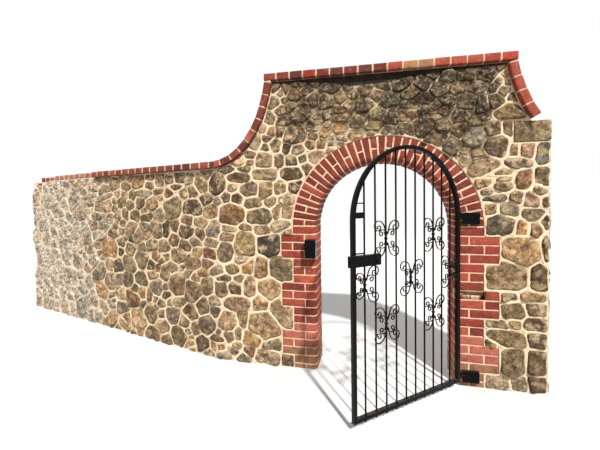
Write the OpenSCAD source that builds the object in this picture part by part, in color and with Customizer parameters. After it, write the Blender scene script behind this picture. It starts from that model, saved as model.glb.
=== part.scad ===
// Rubble garden wall with a brick-dressed arched doorway, swept brick coping and an iron garden gate.
// Sizes in millimetres. +X runs along the doorway wall to the right, +Y into the wall, +Z up.
// The origin is at ground level, at the middle of the hinge-side jamb's foot.

/* [Doorway] */
// clear width between the two brick jambs
door_w = 1160; // [900:10:1500]
// height of the arch centre above the ground
spring_z = 1305; // [1100:5:1800]
// how far the level courses run on above the arch centre
jamb_rise = 20; // [0:1:60]
// thickness of the whole wall, one and a half bricks
wall_t = 327.5; // [215:0.5:500]
// rounding of the brick arrises round the doorway
nose_r = 45; // [0:1:60]

/* [Brick] */
// length of a brick
brick_l = 215; // [200:1:240]
// width of a brick
brick_w = 102.5; // [95:0.5:115]
// height of a brick
brick_h = 65; // [50:1:80]
// mortar joint between bricks
joint = 10; // [6:1:15]
// depth the mortar lies behind the brick faces
recess = 5; // [2:0.5:10]
// number of courses in one tooth of a jamb
tooth_courses = 3; // [1:1:4]
// number of brick rows round the arch
voussoirs = 35; // [21:2:45]
// mortar joint between the bricks of the arch, at its inner edge
ring_joint = 8; // [4:1:14]
// mortar joint between the bricks of the arch, at its outer edge
ring_joint_out = 13; // [5:1:20]
// course of the hinge side jamb whose corner brick is broken out, counted from the ground
broken_course = 10; // [-1:1:23]
// how deep the broken brick's hollow goes
broken_depth = 70; // [20:5:95]

/* [Walls] */
// distance from the doorway's edge to the left end of the high wall
shoulder_left = 440; // [350:5:1000]
// distance from the doorway's edge to the right end of the high wall
shoulder_right = 420; // [350:5:1000]
// distance from the doorway's edge to the plain right end of the wall
pier_right = 670; // [550:5:1400]
// height of the high wall under the left end of its coping
high_z = 2645; // [2300:5:3200]
// how much lower the high wall's coping lies at its right end
high_fall = 35; // [0:1:80]
// height of the low wall under its coping
low_z = 1875; // [1500:5:2200]
// length of the left sweep, from the high wall to the turn in the wall
sweep_run = 530; // [300:5:1000]
// angle by which the low wall turns back
bend_angle = 15; // [0:0.5:30]
// length of the low wall from the turn to its broken end
low_run = 3650; // [1800:10:6000]
// length of one bay of the low wall
low_bay = 1217; // [600:1:2000]

/* [Coping] */
// length of the coping bricks across the wall
coping_d = 430; // [360:1:600]
// spacing of the bricks laid across the level walls
coping_pitch = 117; // [108:1:130]
// spacing of the bricks laid down the sweeps
sweep_pitch = 115; // [108:1:140]
// part of an ellipse that a sweep follows, from its level foot up to the high coping
sweep_turn = 77.4; // [60:0.1:85]
// how far the middle of a sweep's top brick lies inside the end of the high wall
sweep_in = 18; // [0:1:60]
// drop from the high wall's top to the corner stone that the right sweep stops on
right_drop = 495; // [300:5:800]
// length of the low coping that is still whole
coping_kept = 2000; // [500:10:3000]
// length of the broken piece of coping at the far end
remnant_run = 620; // [200:10:1200]
// how far the broken coping's front lies behind the wall face
remnant_back = 110; // [0:5:180]
// how much of the far end's top corner has fallen, along the wall
fallen_run = 520; // [100:10:800]
// how much of the far end's top corner has fallen, down the wall
fallen_drop = 170; // [50:10:400]

/* [Corner stone] */
// length of the big corner stone along the wall
quoin_l = 250; // [200:5:400]
// height of the corner stone
quoin_h = 165; // [120:5:300]
// how far the corner stone stands out past the wall end
quoin_out = 12; // [0:1:40]

/* [Gate] */
// how much less the spacing of the gate's two stiles is than the doorway's width
gate_less = 124; // [60:2:200]
// side of the square bar of the stiles and the arch
stile = 28; // [20:1:50]
// how much higher the gate's arch centre is than the doorway's
gate_rise = 109; // [40:1:200]
// gap between the ground and the bottom rail
gate_lift = 62; // [30:1:120]
// height of the bottom rail
rail_h = 28; // [15:1:60]
// diameter of the upright bars
bar_d = 13; // [8:0.5:20]
// number of upright bars
bar_count = 10; // [5:1:16]
// how far the bars stick out below the bottom rail
bar_tail = 18; // [0:1:40]
// angle by which the gate stands open
gate_open = 40.3; // [0:0.1:100]
// distance from the hinge pin to the middle of the hinge stile
pin_offset = 36; // [30:1:60]
// distance from the wall face to the hinge pin
pin_stand = 37; // [30:1:80]
// distance from the jamb corner to the hinge pin
pin_in = 33; // [15:1:80]
// radius of the hinge pins
pin_r = 8; // [6:0.5:12]
// height of the top hinge's shelf, measured down from the gate's arch centre
hinge_below = 6; // [0:1:60]
// height of the bottom hinge's shelf above the ground
hinge_low_z = 106; // [90:1:300]

/* [Scrollwork] */
// half height of one scroll ornament
scroll_half = 127; // [90:1:140]
// thickness of the scroll strip in the plane of the gate
strip_t = 6; // [4:0.5:9]
// depth of the scroll strip from front to back
strip_d = 7; // [4:0.5:10]
// radius of the ball in the middle of an ornament
ball_r = 13; // [10:0.5:18]
// radius of the mouth of the flares above and below the ball
flare_r = 16; // [11:0.5:20]
// height of the top row of ornaments
row_top_z = 1287; // [1000:1:1500]
// height of the middle row of ornaments
row_mid_z = 986; // [700:2:1200]
// height of the bottom row of ornaments
row_low_z = 688; // [300:2:900]

/* [Lock] */
// length of the lock case
case_l = 256; // [180:2:300]
// how far the lock case stands out past the lock stile
case_over = 40; // [5:1:60]
// height of the lock case
case_h = 74; // [50:1:110]
// depth of the lock case
case_d = 30; // [24:1:50]
// height of the bolt above the ground
bolt_z = 1157; // [900:1:1300]
// height of the bolt itself
bolt_h = 26; // [16:1:40]
// depth of the bolt itself
bolt_d = 14; // [8:1:20]
// how far the bolt stands out of the case as shown
bolt_out = 5; // [2:1:20]
// length of the bolt
bolt_l = 150; // [100:2:180]
// width of the keep on the lock side jamb
keep_w = 98; // [60:1:140]
// height of the keep
keep_h = 163; // [100:1:220]
// wall of the keep round the bolt
keep_wall = 6; // [3:0.5:12]
// distance of the key barrel from the lock stile's centre
barrel_in = 165; // [100:5:190]
// radius of the key barrel
barrel_r = 9.5; // [6:0.5:14]
// height of the tie block between the lock stile and the first bar
tie_h = 39; // [20:1:60]
// height of the thin ties above and below the block
thin_tie_h = 8; // [5:1:15]

/* [Hidden] */
course = brick_h + joint;
jamb_top = spring_z + jamb_rise;
jamb_courses = ceil(jamb_top / course);
wide_bands = ceil((jamb_top / course - 1) / tooth_courses / 2);
half_door = door_w / 2;
ring_d = brick_l;
wide_tooth = brick_l + joint + brick_w;
narrow_tooth = brick_l;
ring_gap = 0.2;
high_left = half_door + shoulder_left;
high_right = half_door + shoulder_right;
end_right = half_door + pier_right;
bend_x = high_left + sweep_run;
bare_end = low_run - 40 - remnant_run;
datum_x = half_door + narrow_tooth / 2;
datum_y = wall_t / 2;
high_end = 10;
fall = atan(high_fall / (high_left + high_right));
sweep_x = bend_x + 50;
sweep_a = (sweep_x - high_left + sweep_in) / sin(sweep_turn);
sweep_b = (high_z - joint - (low_z + brick_h / 2)) / (1 - cos(sweep_turn));
sweep_cz = low_z + brick_h / 2 + sweep_b;
bed = 5;
coping_over = (coping_d - wall_t) / 2;
mitre = wall_t * tan(bend_angle / 2);
right_turn = acos((sweep_cz - high_z + high_fall + joint) / sweep_b);
right_sweep_x = high_right - sweep_in + sin(right_turn) * sweep_a;
right_stop_z = high_z - right_drop;
right_foot = acos((sweep_cz - right_stop_z - 25) / sweep_b);
quoin_z = right_stop_z - quoin_h;
quoin_x = end_right - quoin_l;
pin_x = half_door + pin_in;
pin_y = -pin_stand;
gate_w = door_w - gate_less;
gate_spring = spring_z + gate_rise;
hinge_top_z = gate_spring - hinge_below;
bar_pitch = gate_w / (bar_count + 1);
hinge_stile_u = pin_offset;
lock_stile_u = pin_offset + gate_w;
arch_u = pin_offset + gate_w / 2;
arch_r = gate_w / 2;
fit = 0.15;
case_u = lock_stile_u + stile / 2 + case_over - case_l;
case_end = case_u + case_l;
case_v = stile / 2;
bolt_v = case_v + case_d / 2;
eye_r = 15;
eye_h = 28;
keep_gap = 3;
keep_front = 40;
block_l = 123;
block_h = 92;
block_d = 30;
arm_l = 60;
shelf_h = 12;
tie_z = gate_spring + 22;
high_tie_z = gate_spring + 118;
low_tie_z = bolt_z + case_h / 2 + 6;
bore = bar_d / 2 + fit;
flare_foot = min(12, sqrt(ball_r * ball_r - bore * bore) + 0.89);
curl = scroll_half / 127;
// The scrolls at full size: where each starts from the ornament's middle, the way it sets off in degrees
// from the level, and its arcs as radius and turn.
big_start = [9, 29];
big_heading = 84;
big_arcs = [[209, 18], [54, 67], [34, 160], [23, 95], [14, 210]];
small_start = [8, 45];
small_heading = 61;
small_arcs = [[36, 68], [24, 110], [13, 220]];
arc_step = 12;
stile_side = 0.7;
big = 10000;

// Below one narrow course at the top a jamb's courses are wide and narrow by turns, in bands.
function course_z(k) = jamb_top - (jamb_courses - k) * course;
function band_top(g) = jamb_top - (1 + 2 * g * tooth_courses) * course;
function band_foot(g) = max(0, band_top(g) - tooth_courses * course);
function teeth_wide(k) = floor((jamb_courses - 2 - k) / tooth_courses) % 2 == 0;
function tooth_len(k) = teeth_wide(k) ? wide_tooth : narrow_tooth;
function sweep_pt(t, grow) = [sin(t) * (sweep_a + grow), -cos(t) * (sweep_b + grow)];
function sweep_speed(t) = norm([cos(t) * sweep_a, sin(t) * sweep_b]);
function sweep_len(t, n = 40) = t <= 0 ? 0 : t / n * PI / 180 *
    (sweep_speed(0) / 2 + sweep_speed(t) / 2 + len_sum(t, n, 1));
function len_sum(t, n, i) = i >= n ? 0 : sweep_speed(t * i / n) + len_sum(t, n, i + 1);
function sweep_at(want, lo = 0, hi = 90, left = 14) = left == 0 ? (lo + hi) / 2 :
    sweep_len((lo + hi) / 2) < want ? sweep_at(want, (lo + hi) / 2, hi, left - 1)
    : sweep_at(want, lo, (lo + hi) / 2, left - 1);

// Moves a piece from the doorway's own lines to the origin.
module place() {
    translate([-datum_x, -datum_y, 0])
    children();
}

// Raises an outline drawn in X and Z through the wall, from the front face to the back face.
module through(depth = wall_t, front = 0) {
    translate([0, front + depth, 0])
    rotate([90, 0, 0])
    linear_extrude(height = depth)
    children();
}

// Sets a piece of the low wall, drawn to the left of the turn, at its angle.
module turned() {
    translate([-bend_x, 0, 0])
    rotate([0, 0, -bend_angle])
    children();
}

// The low wall's plan between two distances from the turn.
module low_plan(from, to) {
    cut = from == 0 ? -mitre : -from;
    polygon([[-from, 0], [cut, wall_t], [-to, wall_t], [-to, 0]]);
}

module low_wall_near() {
    color("#a3927a")
    place()
    turned()
    linear_extrude(height = low_z)
    low_plan(0, low_bay);
}

module low_wall_middle() {
    color("#b09d83")
    place()
    turned()
    linear_extrude(height = low_z)
    low_plan(low_bay, 2 * low_bay);
}

// The far bay ends in a ragged toothed edge, and the front of its top corner has fallen.
module low_wall_far() {
    color("#c6bba8")
    place()
    turned()
    difference() {
        through()
        far_outline();
        translate([-low_run, 0, low_z])
        through(remnant_back + 1, -1)
        polygon([[-1, 1], [-1, -fallen_drop], [fallen_run, 1]]);
    }
}

module far_outline() {
    polygon([[-2 * low_bay, 0], [-2 * low_bay, low_z], [-low_run + 40, low_z], [-low_run + 22, low_z - 150],
        [-low_run, low_z - 190], [-low_run + 12, low_z - 420], [-low_run + 55, low_z - 450],
        [-low_run + 45, low_z - 700], [-low_run + 5, low_z - 740], [-low_run + 18, low_z - 1010],
        [-low_run + 60, low_z - 1050], [-low_run + 40, low_z - 1340], [-low_run, low_z - 1380],
        [-low_run, 0]]);
}

// Stone under the left sweep, its top following the coping.
module sweep_wall_left() {
    color("#9d8c74")
    place()
    intersection() {
        through()
        difference() {
            translate([-bend_x - 1, 0])
            square([bend_x + 1 - high_left, high_z]);
            translate([-sweep_x, sweep_cz])
            sweep_outline(brick_h / 2);
        }
        linear_extrude(height = high_z)
        polygon([[-bend_x, 0], [0, 0], [0, wall_t], [-bend_x + mitre, wall_t]]);
    }
}

// The hollow above a sweep, with its lowest point in the middle.
module sweep_outline(grow, steps = 18) {
    polygon(concat([[-big, big], [-big, -sweep_b - grow]],
        [for (i = [0 : steps]) sweep_pt(90 * i / steps, grow)], [[sweep_a + grow, big]]));
}

// One jamb's outline in X and Z, to be taken out of the stone beside it.
module jamb_outline() {
    translate([half_door, 0])
    square([narrow_tooth, jamb_top]);
    for (g = [0 : wide_bands - 1])
        translate([half_door, band_foot(g)])
        square([wide_tooth, band_top(g) - band_foot(g)]);
}

// Everything below the high wall's top, which falls a little to the right.
module below_high() {
    translate([-high_left - high_end, high_z])
    rotate(-fall)
    translate([-big, -big])
    square([2 * big, big]);
}

module pier_outline(outer) {
    difference() {
        translate([half_door, 0])
        square([outer - half_door, high_z]);
        jamb_outline();
        translate([0, jamb_top - 1])
        square([half_door + ring_d, high_z]);
    }
}

module pier_wall_left() {
    color("#947f63")
    place()
    through()
    difference() {
        intersection() {
            mirror([1, 0])
            pier_outline(high_left);
            below_high();
        }
        translate([-sweep_x, sweep_cz])
        sweep_outline(brick_h / 2);
    }
}

module pier_wall_right() {
    color("#8f7c62")
    place()
    through()
    difference() {
        intersection() {
            pier_outline(end_right);
            below_high();
        }
        intersection() {
            translate([right_sweep_x, sweep_cz])
            mirror([1, 0])
            sweep_outline(brick_h / 2);
            translate([0, right_stop_z])
            square(big);
        }
        translate([quoin_x, quoin_z])
        square([big, quoin_h]);
    }
}

module quoin_stone() {
    color("#b6a88e")
    place()
    through(wall_t + 16, -8)
    translate([quoin_x, quoin_z])
    square([quoin_l + quoin_out, quoin_h]);
}

module wall_over_arch() {
    color("#857258")
    place()
    through()
    difference() {
        intersection() {
            translate([-half_door - ring_d, jamb_top])
            square([door_w + 2 * ring_d, high_z - jamb_top]);
            below_high();
        }
        translate([0, spring_z])
        circle(r = half_door + ring_d, $fn = 180);
    }
}

// Section of the ring: radius against depth, with both soffit arrises rounded.
module ring_section(back) {
    r0 = half_door + back;
    r1 = half_door + ring_d - ring_gap;
    n = nose_r - back;
    difference() {
        translate([r0, back])
        square([r1 - r0, wall_t - 2 * back]);
        for (end = [0, 1])
            translate([r0, end == 0 ? back : wall_t - back])
            difference() {
                translate([-1, end == 0 ? -1 : -n])
                square([n + 1, n + 1]);
                translate([n, end == 0 ? n : -n])
                circle(r = n, $fn = 48);
            }
    }
}

module half_ring(back) {
    translate([0, 0, spring_z])
    rotate([90, 0, 0])
    mirror([0, 0, 1])
    rotate_extrude(angle = 180, $fn = 180)
    ring_section(back);
}

// The ring stands on the level tops of the jambs, which lie a little above its centre.
module arch_ring() {
    from = asin(jamb_rise / (half_door + ring_d / 2)) - asin(ring_joint / door_w);
    step = (180 - 2 * from) / voussoirs;
    color("#b0553c")
    place()
    intersection() {
        union() {
            half_ring(recess);
            intersection() {
                half_ring(0);
                for (i = [0 : voussoirs - 1])
                    translate([0, 0, spring_z])
                    rotate([0, -from - step * (i + 0.5), 0])
                    voussoir(i % 2 == 1, step);
            }
        }
        translate([-half_door - ring_d, -1, jamb_top])
        cube([door_w + 2 * ring_d, wall_t + 2, half_door + ring_d + 1]);
    }
}

// One row of the arch, a whole wedge or two halves, laid along the radius.
module voussoir(whole, step) {
    wedge = sin(step / 2);
    r0 = half_door - 5;
    r1 = half_door + ring_d + 5;
    translate([0, -1, 0])
    through(wall_t + 2)
    difference() {
        polygon([[r0, -r0 * wedge + ring_joint / 2], [r1, -r1 * wedge + ring_joint_out / 2],
            [r1, r1 * wedge - ring_joint_out / 2], [r0, r0 * wedge - ring_joint / 2]]);
        if (!whole)
            translate([half_door + brick_w, -brick_h])
            square([joint, 2 * brick_h]);
    }
}

// Plan of a jamb with rounded corners on the doorway side.
module jamb_plan(length, back) {
    n = nose_r - back;
    difference() {
        translate([half_door + back, back])
        square([length - back, wall_t - 2 * back]);
        for (end = [0, 1])
            translate([half_door + back, end == 0 ? back : wall_t - back])
            difference() {
                translate([-1, end == 0 ? -1 : -n])
                square([n + 1, n + 1]);
                translate([n, end == 0 ? n : -n])
                circle(r = n, $fn = 48);
            }
    }
}

// Where the upright joint falls in a course, measured from the corner of the doorway.
function split_at(k, broken) = k == broken ? brick_l
    : k % 2 == jamb_courses % 2 ? brick_w
    : teeth_wide(k) ? brick_l : narrow_tooth;

// Its lowest course is cut off at the ground.
module jamb(broken) {
    union() {
        linear_extrude(height = jamb_top)
        jamb_plan(narrow_tooth, recess);
        for (g = [0 : wide_bands - 1])
            translate([0, 0, band_foot(g)])
            linear_extrude(height = band_top(g) - band_foot(g))
            jamb_plan(wide_tooth, recess);
        for (k = [0 : jamb_courses - 1])
            if (course_z(k) + brick_h > 1)
                translate([0, 0, max(0, course_z(k))])
                linear_extrude(height = min(brick_h, course_z(k) + brick_h))
                difference() {
                    jamb_plan(tooth_len(k), 0);
                    if (split_at(k, broken) < tooth_len(k))
                        translate([half_door + split_at(k, broken), -1])
                        square([joint, wall_t + 2]);
                }
    }
}

module jamb_left() {
    color("#a9523a")
    place()
    mirror([1, 0, 0])
    jamb(-1);
}

// The hinge side jamb, with the hollow where the front of one corner brick has broken away.
module jamb_right() {
    color("#a9523a")
    place()
    difference() {
        jamb(broken_course);
        if (broken_course >= 0 && broken_course < jamb_courses)
            translate([half_door + 30, -1, course_z(broken_course) + 20])
            cube([brick_l - 30, broken_depth + 1, brick_h - 14]);
    }
}

// A level row of bricks laid across the wall on a bed of mortar, growing along +X from zero.
module brick_row(length, front = -coping_over, back = wall_t + coping_over) {
    count = floor((length + joint) / coping_pitch);
    pitch = (length - brick_w) / (count - 1);
    union() {
        translate([recess, front + recess, 0])
        cube([length - 2 * recess, back - front - 2 * recess, brick_h - recess]);
        for (i = [0 : count - 1])
            translate([i * pitch, front, bed])
            cube([brick_w, back - front, brick_h - bed]);
    }
}

module coping_high() {
    color("#8c3f2f")
    place()
    translate([-high_left - high_end, 0, high_z])
    rotate([0, fall, 0])
    brick_row(high_left + high_right + 2 * high_end);
}

// Bricks laid up a sweep, square to its curve, between two of its angles. The mortar they lie in runs on
// a little at both ends, to be cut off where it meets its neighbours.
module sweep_row(foot, top) {
    from = sweep_len(foot);
    run = sweep_len(top) - from;
    count = round(run / sweep_pitch);
    start = foot - 3;
    turn = top + 6 - start;
    union() {
        translate([0, -coping_over + recess, 0])
        through(coping_d - 2 * recess)
        intersection() {
            polygon(concat([for (i = [0 : 18]) sweep_pt(start + turn * i / 18, brick_h)],
                [for (i = [18 : -1 : 0]) sweep_pt(start + turn * i / 18, -brick_h / 2 + recess)]));
            sweep_outline(brick_h / 2);
        }
        intersection() {
            union() {
                for (i = [0 : count - 1])
                    let (t = sweep_at(from + (i + 0.5) * run / count), p = sweep_pt(t, 0),
                        lean = atan2(sin(t) * sweep_b, cos(t) * sweep_a))
                    translate([p[0], -coping_over, p[1]])
                    rotate([0, -lean, 0])
                    translate([-brick_w / 2, 0, -brick_h / 2 + bed])
                    cube([brick_w, coping_d, brick_h - bed]);
            }
            translate([0, -coping_over, 0])
            through(coping_d)
            sweep_outline(brick_h / 2);
        }
    }
}

// Takes the plan on the right of the mitre line through the turn, one joint clear of it.
module right_of_turn() {
    slope = tan(bend_angle / 2);
    linear_extrude(height = high_z)
    polygon([[-bend_x + joint / 2 - coping_d * slope, -coping_d], [0, -coping_d], [0, coping_d],
        [-bend_x + joint / 2 + coping_d * slope, coping_d]]);
}

module coping_sweep_left() {
    color("#93442f")
    place()
    intersection() {
        translate([-sweep_x, 0, sweep_cz])
        sweep_row(0, sweep_turn);
        right_of_turn();
        through(2 * coping_d, -coping_d)
        below_high();
    }
}

module coping_sweep_right() {
    color("#93442f")
    place()
    intersection() {
        translate([right_sweep_x, 0, sweep_cz])
        mirror([1, 0, 0])
        sweep_row(right_foot, right_turn);
        through(2 * coping_d, -coping_d)
        intersection() {
            below_high();
            translate([0, right_stop_z])
            square(big);
        }
    }
}

module coping_low() {
    slope = tan(bend_angle / 2);
    color("#9c4a34")
    place()
    turned()
    intersection() {
        translate([-coping_kept, 0, low_z])
        brick_row(coping_kept + 60);
        linear_extrude(height = high_z)
        polygon([[-big, -coping_d], [-joint / 2 + coping_d * slope, -coping_d],
            [-joint / 2 - coping_d * slope, coping_d], [-big, coping_d]]);
    }
}

module coping_remnant() {
    color("#a5503a")
    place()
    turned()
    translate([-low_run + 40, 0, low_z])
    brick_row(remnant_run, remnant_back);
}

// Coping bricks laid flush with the wall faces, between the whole coping and the broken end.
module coping_flush() {
    color("#c9a58f")
    place()
    turned()
    translate([-bare_end + joint, 0, low_z])
    brick_row(bare_end - coping_kept - 2 * joint, 0, wall_t);
}

// Box on the lock side jamb that takes the bolt, open towards the doorway.
module latch_keep() {
    depth = pin_stand + bolt_v + bolt_d / 2 + keep_wall + keep_gap;
    keep_x = -half_door + 8;
    color("#2b2b2d")
    place()
    difference() {
        translate([keep_x - keep_w, -depth, bolt_z - 0.72 * keep_h])
        cube([keep_w, depth, keep_h]);
        translate([keep_x - keep_front, pin_y - bolt_v - bolt_d / 2 - keep_gap, bolt_z - bolt_h / 2 - 5])
        cube([keep_front + 1, bolt_d + 2 * keep_gap, bolt_h + 10]);
    }
}

// Iron block on the hinge side jamb with a shelf and a standing pin for the gate's eye.
module hinge_block(z) {
    union() {
        translate([pin_x + eye_r + 6, -block_d, z - block_h * 2 / 3])
        cube([block_l, block_d, block_h]);
        translate([pin_x, pin_y - pin_r, z - shelf_h])
        cube([arm_l, pin_r + pin_stand, shelf_h]);
        translate([pin_x, pin_y, z - shelf_h])
        cylinder(r = eye_r, h = shelf_h, $fn = 48);
        translate([pin_x, pin_y, z])
        cylinder(r = pin_r, h = eye_h + 6, $fn = 36);
    }
}

module hinge_block_top() {
    color("#303033")
    place()
    hinge_block(hinge_top_z);
}

module hinge_block_bottom() {
    color("#303033")
    place()
    hinge_block(hinge_low_z);
}

// Sets a piece of the gate, drawn along +X from the hinge pin, at the angle it stands open.
module leaf() {
    place()
    translate([pin_x, pin_y, 0])
    rotate([0, 0, 180 + gate_open])
    children();
}

module stile_bar(u) {
    translate([u - stile / 2, -stile / 2, gate_lift])
    cube([stile, stile, gate_spring - gate_lift]);
}

module hinge_stile() {
    color("#1e1e20")
    leaf()
    stile_bar(hinge_stile_u);
}

module lock_stile() {
    color("#1e1e20")
    leaf()
    stile_bar(lock_stile_u);
}

module arch_bar() {
    color("#1e1e20")
    leaf()
    translate([arch_u, 0, gate_spring])
    rotate([90, 0, 0])
    rotate_extrude(angle = 180, $fn = 120)
    translate([arch_r - stile / 2, -stile / 2])
    square(stile);
}

module bottom_rail() {
    color("#1e1e20")
    leaf()
    difference() {
        translate([hinge_stile_u + stile / 2, -stile / 2, gate_lift])
        cube([gate_w - stile, stile, rail_h]);
        for (i = [1 : bar_count])
            translate([hinge_stile_u + i * bar_pitch, 0, gate_lift - 1])
            cylinder(r = bore, h = rail_h + 2, $fn = 24);
    }
}

module gate_bars() {
    color("#242426")
    leaf()
    difference() {
        for (i = [1 : bar_count])
            translate([hinge_stile_u + i * bar_pitch, 0, gate_lift - bar_tail])
            cylinder(d = bar_d, h = big / 4, $fn = 24);
        beyond_arch();
    }
}

// Everything above the arch's spring line that lies outside its inner edge.
module beyond_arch() {
    depth = 4 * stile;
    translate([arch_u, depth / 2, gate_spring])
    rotate([90, 0, 0])
    difference() {
        linear_extrude(height = depth)
        translate([-big / 2, 0])
        square(big);
        translate([0, 0, -1])
        cylinder(r = arch_r - stile / 2 - fit, h = depth + 2, $fn = 180);
    }
}

// One edge of a scroll's strip: arcs of falling radius that turn clockwise, each starting where and as
// the last one ends. The edge lies off to the outside of the middle line.
function scroll_edge(from, heading, arcs, off, k = 0) =
    k == len(arcs) ? [from + off * away(heading)] :
    let (r = arcs[k][0] * curl, turn = arcs[k][1], n = ceil(turn / arc_step),
        centre = from + r * [sin(heading), -cos(heading)])
    concat([for (i = [0 : n - 1]) centre + (r + off) * away(heading - turn * i / n)],
        scroll_edge(centre + r * away(heading - turn), heading - turn, arcs, off, k + 1));
function away(heading) = [-sin(heading), cos(heading)];

// A scroll cut from flat strip, with a boss where its curl ends.
module scroll(from, heading, arcs) {
    outer = scroll_edge(from, heading, arcs, strip_t / 2);
    inner = scroll_edge(from, heading, arcs, -strip_t / 2);
    last = len(outer) - 1;
    end = (outer[last] + inner[last]) / 2;
    union() {
        through(strip_d, -strip_d / 2)
        polygon(concat(outer, [for (i = [last : -1 : 0]) inner[i]]));
        translate([end[0], strip_d / 2 + 2, end[1]])
        rotate([90, 0, 0])
        cylinder(r = strip_t * 0.9, h = strip_d + 2, $fn = 24);
    }
}

// The two scrolls on one side of half an ornament, the large one outside the small one.
module scroll_pair(size) {
    translate([0, bore + strip_d / 2, 0]) {
        scroll(size * big_start, big_heading, [for (a = big_arcs) [a[0] * size, a[1]]]);
        scroll(size * small_start, small_heading, [for (a = small_arcs) [a[0] * size, a[1]]]);
    }
}

// The bell shaped flare that carries the scrolls, bored for the bar.
module flare() {
    rotate_extrude($fn = 36)
    polygon([[bore, flare_foot], [ball_r * 0.65, flare_foot], [ball_r * 0.75, 24], [ball_r * 0.92, 34],
        [flare_r, 46], [flare_r * 0.7, 48], [bore, 44]]);
}

module half_ornament(left, right) {
    union() {
        flare();
        scroll_pair(right);
        mirror([1, 0, 0])
        scroll_pair(left);
    }
}

module ornament(i, z) {
    translate([hinge_stile_u + i * bar_pitch, 0, z])
    for (n = [0, 1])
        mirror([0, 0, n])
        half_ornament(i == 1 ? stile_side : 1, i == bar_count ? stile_side : 1);
}

module scrolls_top() {
    color("#1a1a1c")
    leaf() {
        ornament(3, row_top_z);
        ornament(bar_count - 2, row_top_z);
    }
}

module scrolls_middle() {
    color("#1a1a1c")
    leaf() {
        ornament(1, row_mid_z);
        ornament((bar_count + 1) / 2, row_mid_z);
        ornament(bar_count, row_mid_z);
    }
}

module scrolls_bottom() {
    color("#1a1a1c")
    leaf() {
        ornament(3, row_low_z);
        ornament(bar_count - 2, row_low_z);
    }
}

module ball(i, z) {
    translate([hinge_stile_u + i * bar_pitch, 0, z])
    difference() {
        sphere(r = ball_r, $fn = 48);
        translate([0, 0, -30])
        cylinder(r = bore, h = 60, $fn = 24);
    }
}

// Turned balls on the bars, and the short spindle with a ball that carries the middle ornament.
module collars() {
    color("#2a2a2d")
    leaf() {
        for (i = [3, bar_count - 2]) {
            ball(i, row_top_z);
            ball(i, row_low_z);
        }
        for (i = [1, bar_count])
            ball(i, row_mid_z);
        translate([arch_u, 0, row_mid_z])
        union() {
            sphere(r = ball_r, $fn = 48);
            translate([0, 0, -scroll_half / 2])
            cylinder(d = bar_d, h = scroll_half, $fn = 24);
        }
    }
}

module lock_case() {
    color("#29292b")
    leaf()
    difference() {
        union() {
            translate([case_u, case_v, bolt_z - case_h / 2])
            cube([case_l, case_d, case_h]);
            translate([lock_stile_u - barrel_in, case_v + case_d / 2, bolt_z - 14])
            rotate([-90, 0, 0])
            cylinder(r = barrel_r, h = case_d / 2 + 9, $fn = 36);
        }
        translate([case_end - bolt_l - 40, bolt_v - bolt_d / 2 - 1, bolt_z - bolt_h / 2 - 1])
        cube([bolt_l + 41, bolt_d + 2, bolt_h + 2]);
    }
}

module lock_bolt() {
    color("#3a3a3d")
    leaf()
    translate([case_end + bolt_out - bolt_l, bolt_v - bolt_d / 2, bolt_z - bolt_h / 2])
    cube([bolt_l, bolt_d, bolt_h]);
}

// Short bars from the lock stile, or the arch above it, to the last bar.
module tie_block() {
    last_u = lock_stile_u - bar_pitch;
    color("#222224")
    leaf()
    difference() {
        union() {
            translate([last_u, -10, tie_z])
            cube([bar_pitch - stile / 2, 20, tie_h]);
            translate([last_u, -6, high_tie_z])
            cube([bar_pitch, 12, thin_tie_h]);
            translate([last_u, -6, low_tie_z - thin_tie_h / 2])
            cube([bar_pitch - stile / 2, 12, thin_tie_h]);
        }
        translate([last_u, 0, 0])
        cylinder(r = bore, h = big, $fn = 24);
        beyond_arch();
    }
}

module hinge_eye(z) {
    difference() {
        union() {
            translate([0, 0, z + 0.3])
            cylinder(r = eye_r, h = eye_h, $fn = 48);
            translate([0, -8, z + 0.3])
            cube([pin_offset - stile / 2, 16, eye_h]);
        }
        translate([0, 0, z - 1])
        cylinder(r = pin_r + 0.08, h = eye_h + 4, $fn = 36);
    }
}

module hinge_eyes() {
    color("#242426")
    leaf() {
        hinge_eye(hinge_top_z);
        hinge_eye(hinge_low_z);
    }
}

low_wall_far();
low_wall_middle();
low_wall_near();
sweep_wall_left();
pier_wall_left();
wall_over_arch();
pier_wall_right();
quoin_stone();
arch_ring();
jamb_left();
jamb_right();
coping_high();
coping_sweep_left();
coping_sweep_right();
coping_low();
coping_flush();
coping_remnant();
latch_keep();
hinge_block_top();
hinge_block_bottom();
hinge_stile();
lock_stile();
arch_bar();
bottom_rail();
gate_bars();
scrolls_top();
scrolls_middle();
scrolls_bottom();
collars();
lock_case();
tie_block();
hinge_eyes();
lock_bolt();
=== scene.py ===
"""Looks of a rubble-stone garden wall with a brick arch, brick coping and an iron gate.

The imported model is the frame. Stones, bricks, pointing and finishes are made here, in metres, in that frame.
"""

from __future__ import annotations

import logging
import math
from dataclasses import dataclass, field
from enum import Enum
from typing import Callable, Sequence

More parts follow.
